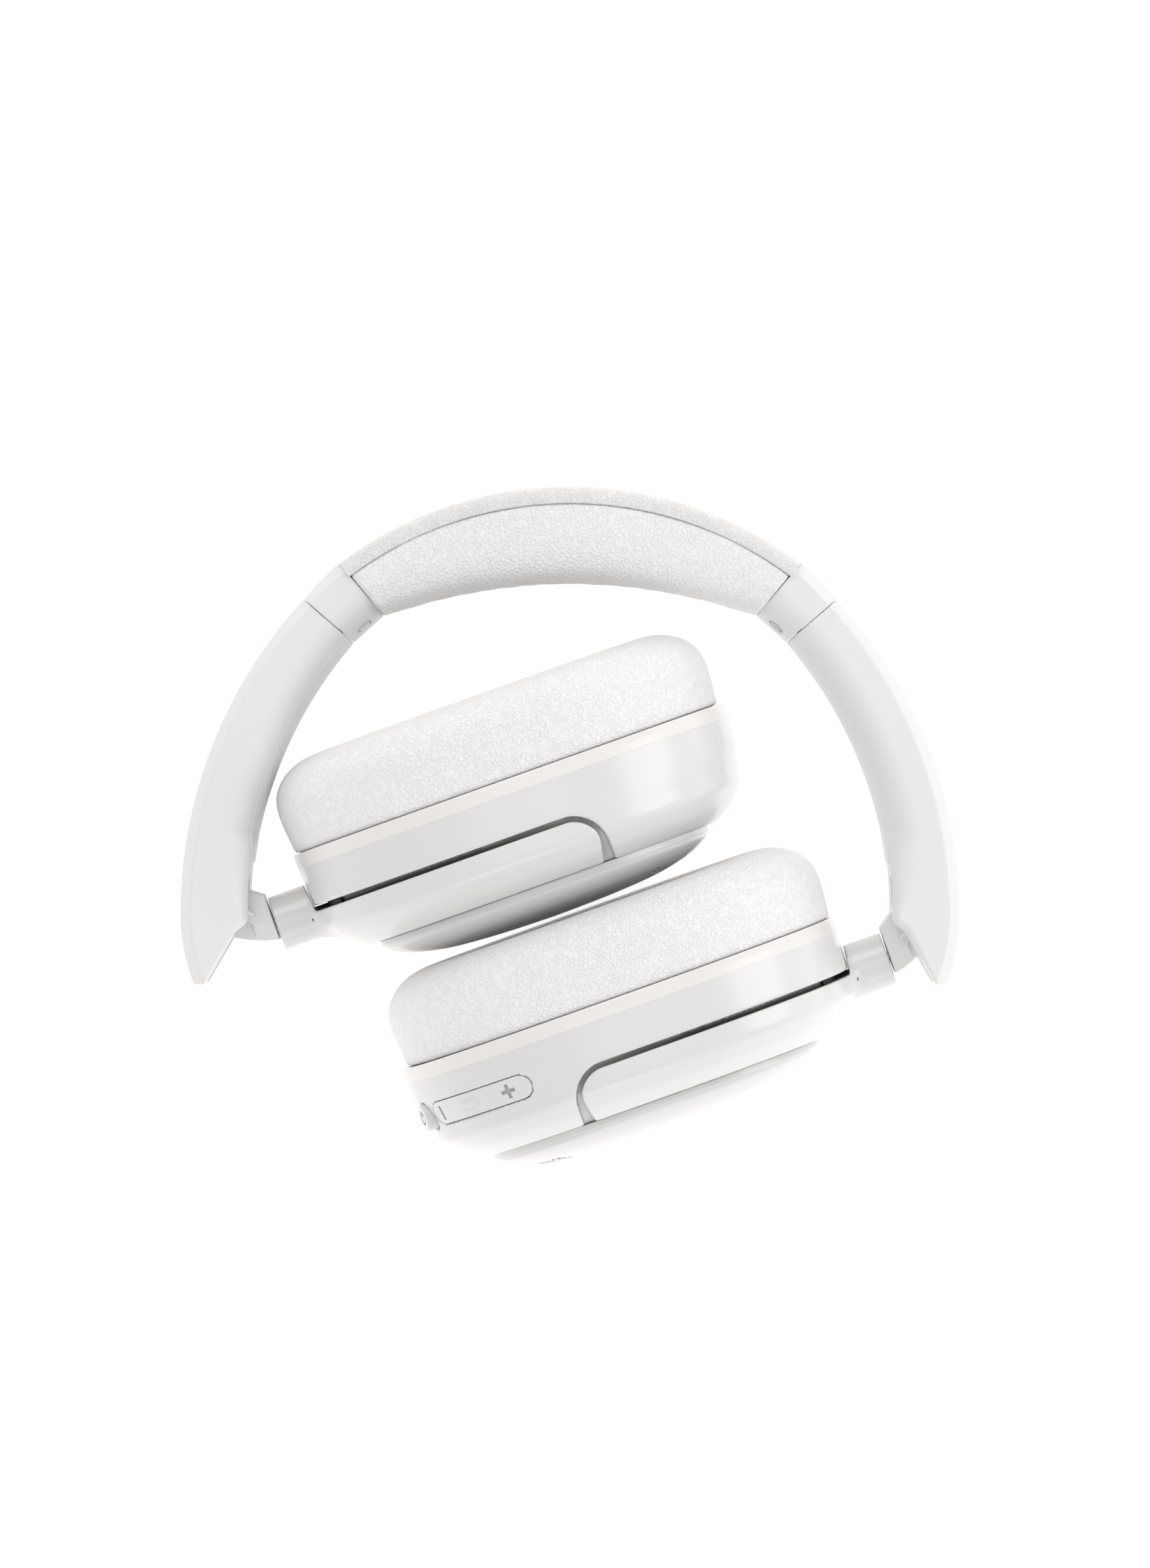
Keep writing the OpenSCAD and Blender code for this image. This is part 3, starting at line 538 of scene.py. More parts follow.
def shell(x, y, z):
    """A cup's hollow shell, with the channel for the yoke and the opening under the cap."""
    body = rmax(rmax(outer_wall(x, y, z), bottom - y, 0.5), y - rim, 0.2)
    carved = np.maximum(side_view(x, y, channel), -core_wall(x, y, z))
    body = cut(body, carved, 0.5)
    hole = np.maximum(cavity_wall(x, y, z), bottom + 2 - y)
    body = cut(body, hole, 0.3)
    return cut(body, np.maximum(opening_wall(x, y, z), y + 6), 0.3)


rocker_mid, rocker_angle = np.array([34.9, 1.35, 27.4]), 40.4
rocker_length, rocker_width, rocker_gap = 27.0, 4.9, 0.12
button_spot, button_angle = np.array([45.1, 1.35, 12.3]), 14.5
port_spot, port_angle = np.array([44.6, 1.35, -14.0]), 18.0
button_radius, button_height = 2.85, 1.3
port_length, port_width = 9.3, 3.5
hole_depth = 8                  # from the wall inwards, for the rocker, button and port


def about_y(x, z, angle):
    """X and Z turned about Y by an angle in degrees."""
    c, s = math.cos(math.radians(angle)), math.sin(math.radians(angle))
    return x * c + z * s, -x * s + z * c


def to_rocker(x, y, z):
    """Cup coordinates to the rocker's own: along it, up the wall, out of the wall."""
    u, w = about_y(x - rocker_mid[0], z - rocker_mid[2], -rocker_angle)
    return u, y - rocker_mid[1], w


def pill(u, v, length, width):
    """Distance outside a bar with round ends."""
    along = np.maximum(np.abs(u) - (length - width) / 2, 0)
    return np.sqrt(along ** 2 + v ** 2) - width / 2


def outward(x, y, z, spot, angle):
    """Coordinates across, up and out of a spot on the wall facing along X, turned towards Z."""
    w, u = about_y(x - spot[0], z - spot[2], angle)
    return u, y - spot[1], w


def shell_right(x, y, z):
    """The right cup's shell, with holes for the rocker, the button and the charging port."""
    body = shell(x, y, z)
    u, v, w = to_rocker(x, y, z)
    slot = pill(u, v, rocker_length, rocker_width) - rocker_gap
    body = cut(body, np.maximum(slot, -w - hole_depth), 0.15)
    u, v, w = outward(x, y, z, button_spot, button_angle)
    bore = np.sqrt(u * u + v * v) - button_radius - 0.2
    body = cut(body, np.maximum(bore, -w - hole_depth), 0.2)
    u, v, w = outward(x, y, z, port_spot, -port_angle)
    return cut(body, np.maximum(pill(u, v, port_length, port_width), -w - hole_depth), 0.3)


def yoke(x, y, z):
    """A stem and its fork, bored for the swivel shaft."""
    wall = rmax(outer_wall(x, y, z), bottom - y, 0.5)
    arms = rmax(wall, side_view(x + yoke_slant * np.clip(-4 - y, 0, 9), y, 0), 0.45)
    tube = np.sqrt(y * y + z * z) - stem_radius
    stem = rmax(rmax(tube, stem_start - x, 0.35), x + 43, 0.5)
    whole = rmin(arms, stem, 3.2)
    above = np.maximum(outer_wall(x, y, z) - 0.3, yoke_top - y)
    whole = cut(whole, above, 0.15)
    whole = cut(whole, yoke_inside(x, y, z), 0.3)
    bore = np.sqrt(y * y + z * z) - 1.65
    return cut(whole, bore, 0.2)


# ---------------------------------------------------------------- knuckles, in the stem's frame
knuckle_outline = np.array([[-3, 3.6], [5.7, 2.27], [10.3, -1], [10.3, -10.84], [7.7, -10.2],
                            [4.4, -8.9], [0.94, -7.15], [-3, -3.6]])
knuckle_pocket = np.array([[2.5, -3.9], [4.9, -4.5], [6.1, -6.0], [5.8, -9.0], [4.0, -12.0],
                           [1.0, -9.0]])


def outline_distance(x, y, outline):
    """Signed distance to a closed polygon, negative inside."""
    best, inside = np.full(np.shape(x), 1e9), np.zeros(np.shape(x), bool)
    for a, b in zip(outline, np.roll(outline, -1, 0)):
        e = b - a
        t = np.clip(((x - a[0]) * e[0] + (y - a[1]) * e[1]) / (e @ e), 0, 1)
        best = np.minimum(best, (x - a[0] - t * e[0]) ** 2 + (y - a[1] - t * e[1]) ** 2)
        cross = (a[1] > y) != (b[1] > y)
        with np.errstate(divide="ignore", invalid="ignore"):
            side = x < (b[0] - a[0]) * (y - a[1]) / (b[1] - a[1]) + a[0]
        inside ^= cross & side
    return np.where(inside, -np.sqrt(best), np.sqrt(best))


def knuckle(x, y, z):
    """A barrel on the hinge pin and a plate to the stem, with side pockets and stops."""
    barrel = rmax(np.sqrt(x * x + y * y) - 4.8, np.abs(z) - 8.0, 0.4)
    plate = rmax(outline_distance(x, y, knuckle_outline), np.abs(z) - 6.2, 0.6)
    body = rmin(barrel, plate, 0.5)
    bend = (y + 6.0 + 0.37 * (x - 6.7)) * 0.94
    body = rmax(body, np.abs(z) - 6.2 - 0.32 * bend, 0.15)
    pocket = outline_distance(x, y, knuckle_pocket)
    body = cut(body, np.maximum(pocket, 5.0 - np.abs(z)), 0.3)
    stop = np.sqrt((y + 3.1 + 0.36 * (x - 5.8)) ** 2 + (np.abs(z) - 6.1) ** 2) - 0.85
    stop = rmax(stop, x + 0.36 * y - 5.75, 0.15)
    body = rmin(body, rmax(stop, 3.0 - x, 0.1), 0.1)
    return cut(body, np.sqrt(x * x + y * y) - 1.55, 0.2)


# ---------------------------------------------------------------- rigid pieces
coarse = 1.0

# solid, its frame, the box it is sought in, mesh step, material, slot, body
rigid = {
    "arm_shell": (arm_shell, "band", [-80.5, -33, -15.5], [-43, 47.5, 15.5], 0.5, satin,
                  "satin_plastic", "arm_{}"),
    "arm_liner": (arm_liner, "band", [-68, -8, -10.5], [-43, 40, 10.5], 0.45, satin,
                  "satin_plastic", "arm_{}"),
    "collar": (collar, "band", [-55.5, 36.5, -15.5], [-37, 55, 15.5], 0.32, satin,
               "satin_plastic", "headband"),
    "knuckle": (knuckle, "stem", [-5.5, -12, -8.5], [11, 5.5, 8.5], 0.28, grey,
                "satin_plastic", "knuckle_{}"),
    "yoke": (yoke, "cup", [-55, -11, -38.5], [15, 6.5, 38.5], 0.42, gloss,
             "white_plastic", "yoke_{}"),
}
for name, (f, place, low, high, step, skin, slot_name, body) in rigid.items():
    shape = net(f, low, high, step * coarse)
    for side, piece in solid_pair(name, shape, place).items():
        finish_piece(piece, skin, slot_name, body.format(side), f"{name}_{side}")


def channel_painted_shade(points):
    """How much shade is painted on the floor of the yoke's channel: most near the stem, none at the
    far end.
    """
    x, y, z = points.T
    floor = np.clip((0.9 - core_wall(x, y, z)) / 0.8, 0, 1)
    inside = np.clip(-side_view(x, y, channel) / 0.3, 0, 1) * (core_wall(x, y, z) > -0.3)
    return floor * inside * np.clip((14.5 - x) / 26, 0, 1) ** 0.5


for side, f in (("left", shell), ("right", shell_right)):
    shape = net(f, [-47, -11, -38.5], [48.5, 12.5, 38.5], 0.5 * coarse)
    piece = solid_pair("cup_shell", shape, "cup", [side])[side]
    # painted shade for the channel, stored on the shell's points
    depth = piece.data.attributes.new("depth", "FLOAT", "POINT")
    depth.data.foreach_set("value", channel_painted_shade(shape[0]).astype(np.float32))
    finish_piece(piece, shell_painted_shade_skin, "white_plastic", f"cup_{side}", f"cup_shell_{side}")


# Painted shade: dark sleeves where the inner lead passes from a stem into its cup, and dark strips
# behind them, stand in for the shade deep in the slit over the yoke
shade_sleeve_shape = net(lambda x, y, z: rmax(pill(z, y + 1.2, 12.0, 3.6), np.abs(x + 45.0) - 2.2, 0.3),
           [-48, -3.5, -6.5], [-42, 1.5, 6.5], 0.3 * coarse)
# dark sleeves that paint the shade at the stem end of the slit
for side, piece in solid_pair("painted_shade_sleeve", shade_sleeve_shape, "cup").items():
    finish_piece(piece, dark, "dark_plastic", f"yoke_{side}")


def painted_shade_strip(x, y, z):
    """A dark strip on the core wall, behind the slit over the yoke, standing in for the shade
    there.
    """
    skin = np.abs(core_wall(x, y, z) - 0.15) - 0.45
    return rmax(rmax(skin, np.abs(y + 0.6) - 1.35, 0.1), x + 39.6, 0.1)


# dark strips that paint the shade behind the slit
shade_strip_shape = net(painted_shade_strip, [-44.5, -2.3, -19], [-39, 1.1, 19], 0.35 * coarse)
for side, piece in solid_pair("painted_shade_strip", shade_strip_shape, "cup").items():
    finish_piece(piece, dark, "dark_plastic", f"cup_{side}")


# ---------------------------------------------------------------- volume rocker and button
rocker_thickness = 1.6
sign_depth = 0.35               # of the sign sunk in the button
flange_top, button_foot = -3.2, -4.2


def rocker_marks(u, v):
    """Plus and minus signs on the rocker."""
    plus = np.minimum(np.maximum(np.abs(u + 8.6) - 1.5, np.abs(v) - 0.34),
                      np.maximum(np.abs(v) - 1.45, np.abs(u + 8.6) - 0.34))
    return np.minimum(plus, np.maximum(np.abs(v) - 1.5, np.abs(u - 10.6) - 0.25))


def rocker(u, v, w):
    """The rocker, flush with the wall, with a raised bar and sunk signs."""
    x, z = about_y(u, w, rocker_angle)
    wall = outer_wall(x + rocker_mid[0], v + rocker_mid[1], z + rocker_mid[2])
    body = rmax(pill(u, v, rocker_length, rocker_width), wall - 0.1, 0.15)
    body = rmin(body, rmax(pill(u - 1.4, v, 4.2, 1.25), wall - 0.55, 0.3), 0.15)
    body = cut(body, wall + rocker_thickness, 0.1)
    return cut(body, np.maximum(rocker_marks(u, v), -(wall + 0.2)), 0.06)


def button_mark(u, v):
    """A ring open at the top with a bar in it, the usual sign for power."""
    ring = np.abs(np.sqrt(u * u + v * v) - 1.2) - 0.17
    gap = np.maximum(np.abs(u) - 0.45, -v)
    return np.minimum(np.maximum(ring, -gap), np.maximum(np.abs(u) - 0.16, np.abs(v - 1.0) - 0.75))


def button(u, v, w):
    """A slightly dished button with a sunk sign, on a flange that stays behind the wall."""
    r = np.sqrt(u * u + v * v)
    body = rmax(rmax(r - button_radius, w - button_height, 0.45), button_foot - w, 0.2)
    dish = np.sqrt(r * r + (w - button_height - 14) ** 2) - 14.12
    body = cut(body, dish, 0.2)
    flange = rmax(rmax(r - button_radius - 0.9, w - flange_top, 0.1), button_foot - w, 0.1)
    body = cut(body, np.maximum(button_mark(u, v), button_height - sign_depth - w), 0.05)
    return np.minimum(body, flange)


def placed_net(name, f, low, high, step, mid, spin, flip, marks, floor):
    """A small implicit solid made in its own frame on the right cup's wall, with grey marks."""
    local, quads, normals = net(f, low, high, step * coarse)
    points, normals = spin(local) + mid, spin(normals)
    piece = mesh_object(name, to_row(points, "right", "cup"), quads.tolist(), flip,
                        row_normals(normals, "right", "cup"))
    finish_piece(piece, gloss, "white_plastic", name.rsplit("_", 1)[0], name.rsplit("_", 1)[0])
    piece.data.materials.append(print_and_hole_shade_grey)
    middle = local[quads].mean(1)
    marked = (marks(middle[:, 0], middle[:, 1]) < 0.03) & (middle[:, 2] > floor)
    piece.data.polygons.foreach_set("material_index", marked.astype(np.int32))


def rocker_spin(p):
    """The rocker's own directions as the cup's."""
    x, z = about_y(p[:, 0], p[:, 2], rocker_angle)
    return np.stack([x, p[:, 1], z], 1)


def button_spin(p):
    """The button's own directions as the cup's."""
    x, z = about_y(p[:, 2], p[:, 0], -button_angle)
    return np.stack([x, p[:, 1], z], 1)


placed_net("volume_rocker_face", rocker, [-14, -3, -6], [14, 3, 3], 0.16, rocker_mid,
           rocker_spin, True, rocker_marks, -2.5)
placed_net("power_button_cap", button, [-4, -4, -4.5], [4, 4, 1.6], 0.12, button_spot,
           button_spin, False, button_mark, button_height - 0.5)

# ---------------------------------------------------------------- domed caps
cap_top, cap_half, dome_height = bottom - 0.1, 35.6, 7.1
cap_aspect = (cap_half - inset) / cap_half
dome = [[0.002, 1], [0.23, 0.975], [0.43, 0.93], [0.635, 0.84], [0.795, 0.68], [0.89, 0.52],
        [0.95, 0.37], [0.978, 0.27], [0.984, 0.2]]
dome_edge = [[0.986, 0.172], [0.994, 0.166], [0.9995, 0.155], [1.0, 0.14], [1.0, 0.05], [1.0, 0]]


def even_ring(a, b, y, count):
    """Points evenly spaced round an oval of half lengths a and b."""
    t = 2 * math.pi * np.r_[np.arange(2000), 0] / 2000
    c, s = np.cos(t), np.sin(t)
    x, z = (h * np.sign(v) * np.abs(v) ** (2 / power) for h, v in ((a, c), (b, s)))
    along = np.r_[0, np.cumsum(np.hypot(np.diff(x), np.diff(z)))]
    at = np.arange(count) * along[-1] / count
    return np.stack([np.interp(at, along, x), np.full(count, y), np.interp(at, along, z)], 1)


def dome_rings(reach, height, count, rows):
    """Ovals from a dome's middle to its edge."""
    curve = np.vstack([spline(dome, rows), dome_edge])
    return [even_ring(reach * p[0], reach * p[0] * cap_aspect, cap_top - height * p[1], count)
            for p in curve]


def cap_mesh():
    """A hollow domed cap: outside, the lip that enters the shell, inside."""
    count = 128
    outside = dome_rings(cap_half, dome_height, count, 44)
    lip = [even_ring(cap_half - d, cap_half - inset - d, cap_top + h, count)
           for d, h in ((0.12, 0.06), (0.4, 0.1), (5.2, 0.1), (5.3, 1.7), (7.2, 1.7))]
    inside = dome_rings(28.3, dome_height - 1.8, count, 20)[::-1]
    rings = outside + lip + inside
    points = np.vstack(rings)
    faces = grid_faces(len(rings), count)
    faces.append(tuple(range(count))[::-1])
    last = (len(rings) - 1) * count
    faces.append(tuple(range(last, last + count)))
    return points, faces


def apply_modifiers(piece):
    """Makes the result of a piece's modifiers its mesh."""
    graph = bpy.context.evaluated_depsgraph_get()
    made = bpy.data.meshes.new_from_object(piece.evaluated_get(graph))
    piece.modifiers.clear()
    piece.data = made


def fix_normals(piece):
    """Turns every face outwards."""
    b = bmesh.new()
    b.from_mesh(piece.data)
    bmesh.ops.recalc_face_normals(b, faces=b.faces)
    b.to_mesh(piece.data)
    b.free()


mic_holes = np.array([[reach * math.cos(math.radians(t)), -15.2,
                       reach * cap_aspect * math.sin(math.radians(t))]
                      for reach in (27.0, 28.4, 29.8) for t in range(8, 41, 4)])
mic_hole_radius = 0.42


def mic_pins(side):
    """Short pegs that punch the microphone's holes in the cap."""
    b = bmesh.new()
    for x, _, z in mic_holes:
        made = bmesh.ops.create_cone(b, cap_ends=True, segments=12, radius1=mic_hole_radius,
                                     radius2=mic_hole_radius, depth=6.0)["verts"]
        for v in made:
            v.co = Vector((v.co.x + x, v.co.z - 15.2, v.co.y + z))
    mesh = bpy.data.meshes.new("mic_pins")
    b.to_mesh(mesh)
    b.free()
    points = np.array([v.co for v in mesh.vertices])
    faces = [tuple(p.vertices) for p in mesh.polygons]
    pins = mesh_object("mic_pins", to_row(points, side, "cup"), faces)
    fix_normals(pins)
    return pins


cap_points, cap_faces = cap_mesh()
for side in ("left", "right"):
    cap = mesh_object(f"cup_cap_dome_{side}", to_row(cap_points, side, "cup"), cap_faces)
    fix_normals(cap)
    pins = mic_pins(side)
    punch = cap.modifiers.new("punch", "BOOLEAN")
    punch.operation, punch.object, punch.solver = "DIFFERENCE", pins, "EXACT"
    apply_modifiers(cap)
    bpy.data.objects.remove(pins)
    cap.data.polygons.foreach_set("use_smooth", np.ones(len(cap.data.polygons), bool))
    cap.data.set_sharp_from_angle(angle=math.radians(42))
    finish_piece(cap, gloss, "white_plastic", f"cup_{side}", f"cup_cap_{side}")
    # The grey on the walls of the microphone holes is painted shade
    cap.data.materials.append(print_and_hole_shade_grey)        # on the walls of the holes
    starts, ends = (to_row(mic_holes + [0, y, 0], side, "cup") for y in (0, 1))
    centers = np.array([p.center for p in cap.data.polygons])
    away = [np.linalg.norm(np.cross(centers - a, (b - a) / np.linalg.norm(b - a)), axis=1)
            for a, b in zip(starts, ends)]
    # faces on the walls of the holes, which get the painted shade
    shaded_hole_walls = np.min(away, axis=0) < mic_hole_radius * 0.00102
    cap.data.polygons.foreach_set("material_index", shaded_hole_walls.astype(np.int32))

# ---------------------------------------------------------------- headband cover
half_cover = 36.83
cover_profile = [[75.2, 15.2], [75.17, 15.8], [75.3, 16.0], [75.8, 16.03], [76.6, 16.0],
                 [77.3, 15.75], [78.1, 15.1], [78.55, 14.3], [78.74, 13.2], [78.8, 11], [78.8, 5],
                 [78.8, 0]]
under = [[76.5, 0], [76.5, 12.4], [75.9, 13.4], [75.25, 13.6], [75.2, 15.2]]


def cover_mesh():
    """The section round both edges, swept along the headband."""
    top, low = spline(cover_profile, 40), np.array(under)[:-1]
    closed = np.vstack([top, top[::-1][1:] * [1, -1], low[1:][::-1] * [1, -1], low])
    n, angles = len(closed), np.radians(np.linspace(90 - half_cover, 90 + half_cover, 161))
    rows = [np.stack([band_center[0] + closed[:, 0] * math.cos(a),
                      band_center[1] + closed[:, 0] * math.sin(a), closed[:, 1]], 1)
            for a in angles]
    faces = grid_faces(len(rows), n)
    faces += [tuple(range(n))[::-1], tuple(range((len(rows) - 1) * n, len(rows) * n))]
    return np.vstack(rows), faces


points, faces = cover_mesh()
cover = mesh_object("headband_cover_skin", to_row(points, "left", "band"), faces)
fix_normals(cover)
cover.data.set_sharp_from_angle(angle=math.radians(50))
finish_piece(cover, cover_skin, "white_leather", "headband", "headband_cover")


# ---------------------------------------------------------------- cushions
def puff(piece, pins, pressure, most, frames=20):
    """Blows a cushion up with Blender's cloth, holding the pinned points, and caps the moves."""
    rest = np.array([v.co for v in piece.data.vertices])
    group = piece.vertex_groups.new(name="held")
    for weight in np.unique(np.round(pins, 2)):
        chosen = np.nonzero(np.round(pins, 2) == weight)[0].tolist()
        group.add(chosen, float(weight), "REPLACE")
    sim = piece.modifiers.new("puff", "CLOTH")
    sim.settings.quality = 6
    sim.settings.mass = 0.15
    sim.settings.use_pressure = True
    sim.settings.uniform_pressure_force = pressure
    sim.settings.vertex_group_mass = "held"
    sim.settings.pin_stiffness = 1.0
    sim.settings.tension_stiffness = sim.settings.compression_stiffness = 18
    sim.settings.shear_stiffness = 10
    sim.settings.bending_stiffness = 0.4
    sim.settings.effector_weights.gravity = 0
    sim.collision_settings.use_collision = False
    scene = bpy.context.scene
    for f in range(1, frames + 1):
        scene.frame_set(f)
    apply_modifiers(piece)
    scene.frame_set(1)
    moved = np.array([v.co for v in piece.data.vertices]) - rest
    length = np.linalg.norm(moved, axis=1)
    moved *= (np.minimum(length, most) / np.maximum(length, 1e-9))[:, None]
    piece.data.vertices.foreach_set("co", (rest + moved).astype(np.float32).ravel())
    piece.data.update()


def subdivide(piece):
    """One level of subdivision, applied."""
    sub = piece.modifiers.new("smooth", "SUBSURF")
    sub.levels = sub.render_levels = 1
    apply_modifiers(piece)
    piece.data.polygons.foreach_set("use_smooth", np.ones(len(piece.data.polygons), bool))


# Height and half length round the cushion's section, from the rim over the top to the ear hole
cushion_section = np.array([
    [11.8, 45.9], [12.2, 45.95], [14.0, 46.15], [16.0, 46.35], [18.5, 46.55], [21.0, 46.6],
    [23.5, 46.2], [25.8, 45.0], [27.6, 43.2], [29.0, 40.9], [29.8, 38.6], [30.15, 36.4],
    [30.2, 34.4], [29.95, 32.6], [29.2, 30.9], [27.9, 29.6], [26.0, 28.7], [23.0, 28.2],
    [19.0, 28.1], [15.0, 28.3], [12.6, 28.9], [12.0, 30.5], [11.8, 38.0]])


def ear_cushion():
    """Points, faces and pinning of an ear cushion; its base on the rim is held."""
    count = 88
    section = spline(cushion_section, 52)
    rings = [even_ring(a, a - inset, y, count) for y, a in section]
    pins = np.repeat(np.where(section[:, 0] < 13.0, 1.0, 0.0), count)
    return np.vstack(rings), grid_faces(len(rings), count, wrap_rows=True), pins


def pucker(points, seam_height, size):
    """Small gathers where the leather is pulled over the rim."""
    angle = np.arctan2(points[:, 2] / 0.82, points[:, 0])
    near = np.exp(-((points[:, 1] - seam_height) / 1.6) ** 2)
    ripple = np.sin(angle * 47 + 1.7 * np.sin(angle * 5)) * 0.6 + np.sin(angle * 83 + 2) * 0.4
    radius = np.hypot(points[:, 0], points[:, 2])
    outside = np.clip((radius - 30) / 4, 0, 1)
    scale = 1 + size * near * ripple * outside / radius
    return points * np.stack([scale, np.ones_like(scale), scale], 1)


points, faces, pins = ear_cushion()
points = pucker(points, 13.2, 0.10)
for side in ("left", "right"):
    cushion = mesh_object(f"ear_cushion_pad_{side}", to_row(points, side, "cup"), faces)
    fix_normals(cushion)
    puff(cushion, pins, 4.0, 0.0006)
    subdivide(cushion)
    finish_piece(cushion, cushion_skin, "white_leather", f"cup_{side}", f"ear_cushion_{side}")


def welt(name, ring, radius, side):
    """A thin leather welt on a cup, along a closed row of points."""
    n, m = len(ring), 8
    ahead = np.roll(ring, -1, 0) - np.roll(ring, 1, 0)
    ahead /= np.linalg.norm(ahead, axis=1)[:, None]
    first = np.cross(ahead, [0, 1, 0])
    first /= np.linalg.norm(first, axis=1)[:, None]
    second = np.cross(ahead, first)
    points = np.stack([ring + radius * (math.cos(t) * first + math.sin(t) * second)
                       for t in 2 * math.pi * np.arange(m) / m], 1).reshape(-1, 3)
    piece = mesh_object(f"{name}_{side}", to_row(points, side, "cup"),
                        grid_faces(n, m, wrap_rows=True))
    fix_normals(piece)
    finish_piece(piece, cushion_skin, "white_leather", f"cup_{side}")


for side in ("left", "right"):
    welt("cushion_welt", even_ring(31.4, 31.4 - inset, 29.52, 160), 0.32, side)

# Bezel rings that hold the cushions, round the upper edge of the shells
for side in ("left", "right"):
    rings = []
    for out, height in ((-0.5, 9.0), (0.02, 8.98), (0.1, 9.06), (0.1, 10.4), (0.09, 11.85),
                        (-0.03, 12.0), (-0.9, 12.02), (-1.0, 11.5)):
        a = np.interp(min(height, rim - 0.1), *outer_table[:2]) + out
        ring = even_ring(a, a - inset, height, 200)
        ring[:, 0] *= np.where(ring[:, 0] > 0, (a + far_flare) / a, 1)
        rings.append(ring)
    bezel = mesh_object(f"cup_bezel_{side}", to_row(np.vstack(rings), side, "cup"),
                        grid_faces(len(rings), 200, wrap_rows=True))
    fix_normals(bezel)
    bezel.data.set_sharp_from_angle(angle=math.radians(40))
    finish_piece(bezel, rim_skin, "white_plastic", f"cup_{side}")

# Cloth over the driver, inside the ear hole, slightly sagging
scrim_half, count = 29.8, 96
scrim_aspect = (scrim_half - inset) / scrim_half
for side in ("left", "right"):
    rings = [even_ring(a, a * scrim_aspect,
                       12.02 - 0.35 * math.cos(a / scrim_half * math.pi / 2), count)
             for a in np.linspace(0.3, scrim_half, 26)]
    rings += [even_ring(a, a * scrim_aspect, 11.66, count) for a in (scrim_half, 15.0, 0.3)]
    points, faces = np.vstack(rings), grid_faces(len(rings), count)
    last = (len(rings) - 1) * count
    faces += [tuple(range(count))[::-1], tuple(range(last, last + count))]
    scrim = mesh_object(f"ear_scrim_cloth_{side}", to_row(points, side, "cup"), faces)
    fix_normals(scrim)
    scrim.data.set_sharp_from_angle(angle=math.radians(50))
    finish_piece(scrim, cloth, "speaker_cloth", f"cup_{side}", f"ear_scrim_{side}")

# Headband cushion: sections between the seam under the cover and the flatter pad arc
pad_seam_radius, half_pad = 75.24, 36.85
stations = 91


def pad_section(thick):
    """Depth below the seam and half width, round the front half of the section."""
    return np.array([[0.0, 0.0], [0.0, 8.0], [0.0, 15.2], [0.05, 15.75], [0.3, 15.95], [1.4, 16.03],
                     [thick * 0.3, 16.05], [thick * 0.5, 15.95], [thick - 5.2, 15.5],
                     [thick - 3.0, 14.7], [thick - 1.3, 13.1], [thick - 0.4, 10.8], [thick, 7.5],
                     [thick, 3.5], [thick, 0.0]])


def pad_mesh():
    """Points, faces and pinning of the headband cushion; its ends and seam are held."""
    rows = []
    for u in np.linspace(-1, 1, stations):
        a = math.radians(90 - half_pad * u)
        o = band_center + pad_seam_radius * np.array([math.cos(a), math.sin(a)])
        x = o[0] * 0.853
        i = np.array([x, pad_center[1] + math.sqrt(pad_radius ** 2 - x * x)])
        d, thick = (i - o) / np.linalg.norm(i - o), np.linalg.norm(i - o)
        front = spline(pad_section(thick), 30)
        loop = np.vstack([front, front[::-1][1:-1] * [1, -1]])
        rows.append(np.stack([o[0] + d[0] * loop[:, 0], o[1] + d[1] * loop[:, 0], loop[:, 1]], 1))
    n = len(rows[0])
    faces = grid_faces(stations, n)
    faces += [tuple(range(n))[::-1], tuple(range((stations - 1) * n, stations * n))]
    held = np.zeros((stations, n))
    held[:2] = held[-2:] = 1
    held[:, (np.arange(n) < 14) | (np.arange(n) > n - 14)] = 1
    return np.vstack(rows), faces, held.ravel()


points, faces, pins = pad_mesh()
pad = mesh_object("headband_cushion_pad", to_row(points, "left", "band"), faces)
fix_normals(pad)
puff(pad, pins, 3.0, 0.0006)
subdivide(pad)
finish_piece(pad, cushion_skin, "white_leather", "headband", "headband_cushion")

# ---------------------------------------------------------------- carried-over CAD nodes
skins = [(metal, ("spring_band", "band_rivets", "collar_screws", "slider_strip_",
                  "strip_screws_", "hinge_pin_", "swivel_shaft_", "swivel_clip_", "tilt_pins_",
                  "baffle_screws_", "driver_magnet_", "microphone_", "usb_port", "rocker_pin")),
         (dark, ("headband_frame", "slider_guide_", "baffle_left", "baffle_right",
                 "driver_frame_", "rocker_switches", "power_switch")),
         (film, ("diaphragm_",)), (board_green, ("circuit_board",)), (cell_wrap, ("battery",))]
for skin, starts in skins:
    for node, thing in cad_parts.items():
        if node.startswith(starts) and not thing.hide_render:
            for i in range(len(thing.data.materials)):
                thing.data.materials[i] = skin
            if not thing.data.materials:
                thing.data.materials.append(skin)

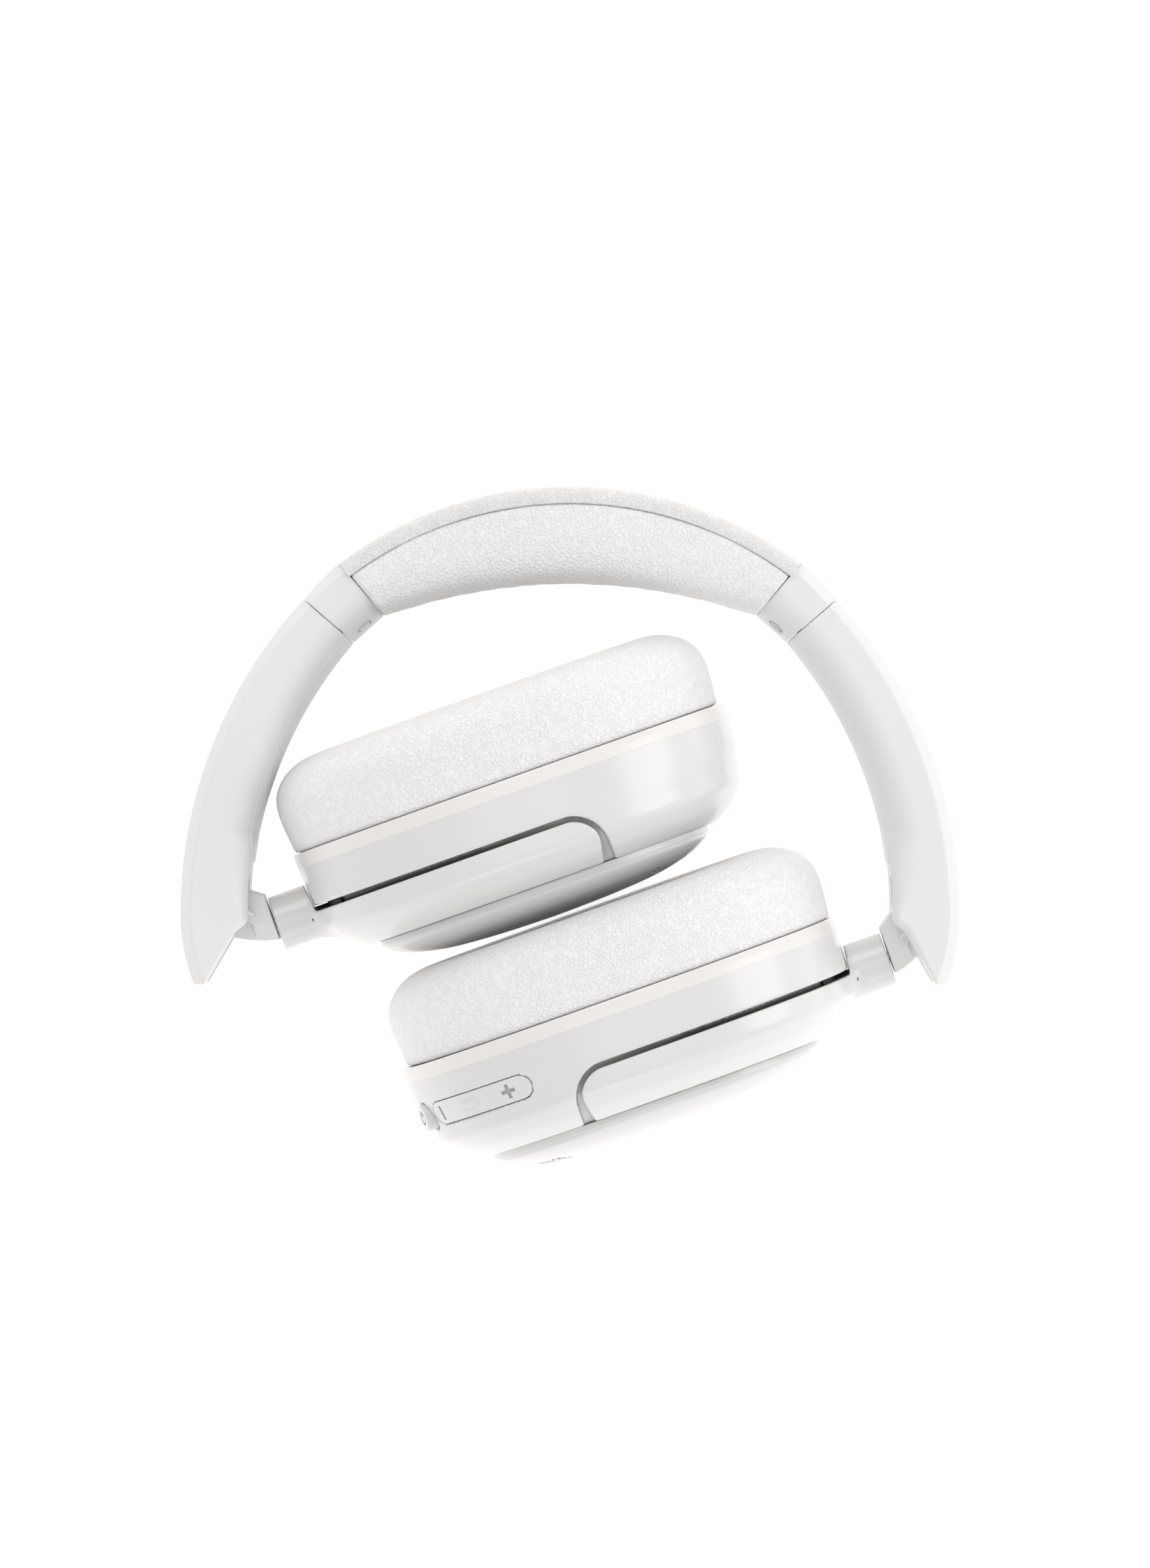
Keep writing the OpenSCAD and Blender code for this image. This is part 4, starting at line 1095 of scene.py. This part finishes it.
# ---------------------------------------------------------------- floor, light and camera
low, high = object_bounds()
bpy.ops.mesh.primitive_plane_add(size=6, location=(0, 0, low.z))
floor = bpy.context.object
floor.name = "floor"
pale = material("pale_floor", (0.93, 0.93, 0.93), (0.92, 0.92, 0.92), (0.8, 0.9), cloud=5,
                sockets={"Emission Color": (1, 1, 1, 1), "Emission Strength": 0.45})
floor.data.materials.append(pale)

world = bpy.data.worlds.new("studio")
bpy.context.scene.world = world
world.use_nodes = True
sky, links = world.node_tree.nodes, world.node_tree.links
where = sky.new("ShaderNodeTexCoord")
parts = sky.new("ShaderNodeSeparateXYZ")
links.new(where.outputs["Generated"], parts.inputs["Vector"])
shade = sky.new("ShaderNodeMapRange")
shade.inputs["From Min"].default_value, shade.inputs["From Max"].default_value = 0.1, 0.95
shade.inputs["To Min"].default_value, shade.inputs["To Max"].default_value = 1.0, 0.52
links.new(parts.outputs["Z"], shade.inputs["Value"])
links.new(shade.outputs["Result"], sky["Background"].inputs["Strength"])
sky["Background"].inputs["Color"].default_value = (1, 1, 1, 1)


def softbox(name, place, size, power):
    """A round area light aimed at the middle of the object."""
    light = bpy.data.lights.new(name, "AREA")
    light.shape, light.size, light.energy = "DISK", size, power
    thing = bpy.data.objects.new(name, light)
    thing.location = place
    thing.rotation_mode = "QUATERNION"
    thing.rotation_quaternion = (Vector((0, 0, middle_z)) - Vector(place)).to_track_quat("-Z", "Y")
    bpy.context.scene.collection.objects.link(thing)


middle_z = (low.z + high.z) / 2
softbox("key", (-0.35, 0.9, 1.0), 0.7, 3.2)
softbox("fill", (0.95, 0.15, 0.75), 0.7, 3.0)
softbox("low", (0.2, -1.1, 0.6), 0.7, 1.4)
softbox("top", (0.0, 0.0, 1.9), 1.2, 2.5)

camera_data = bpy.data.cameras.new("camera")
camera = bpy.data.objects.new("camera", camera_data)
bpy.context.scene.collection.objects.link(camera)
bpy.context.scene.camera = camera
camera_distance, frame_height = 2.0, 0.322
camera.location = (0.001, 0.0086, middle_z + camera_distance)
camera_data.sensor_width = 36
camera_data.lens = 18 / (frame_height / 2 / camera_distance)
camera_data.clip_end = 10
bpy.context.scene.view_settings.view_transform = "Standard"
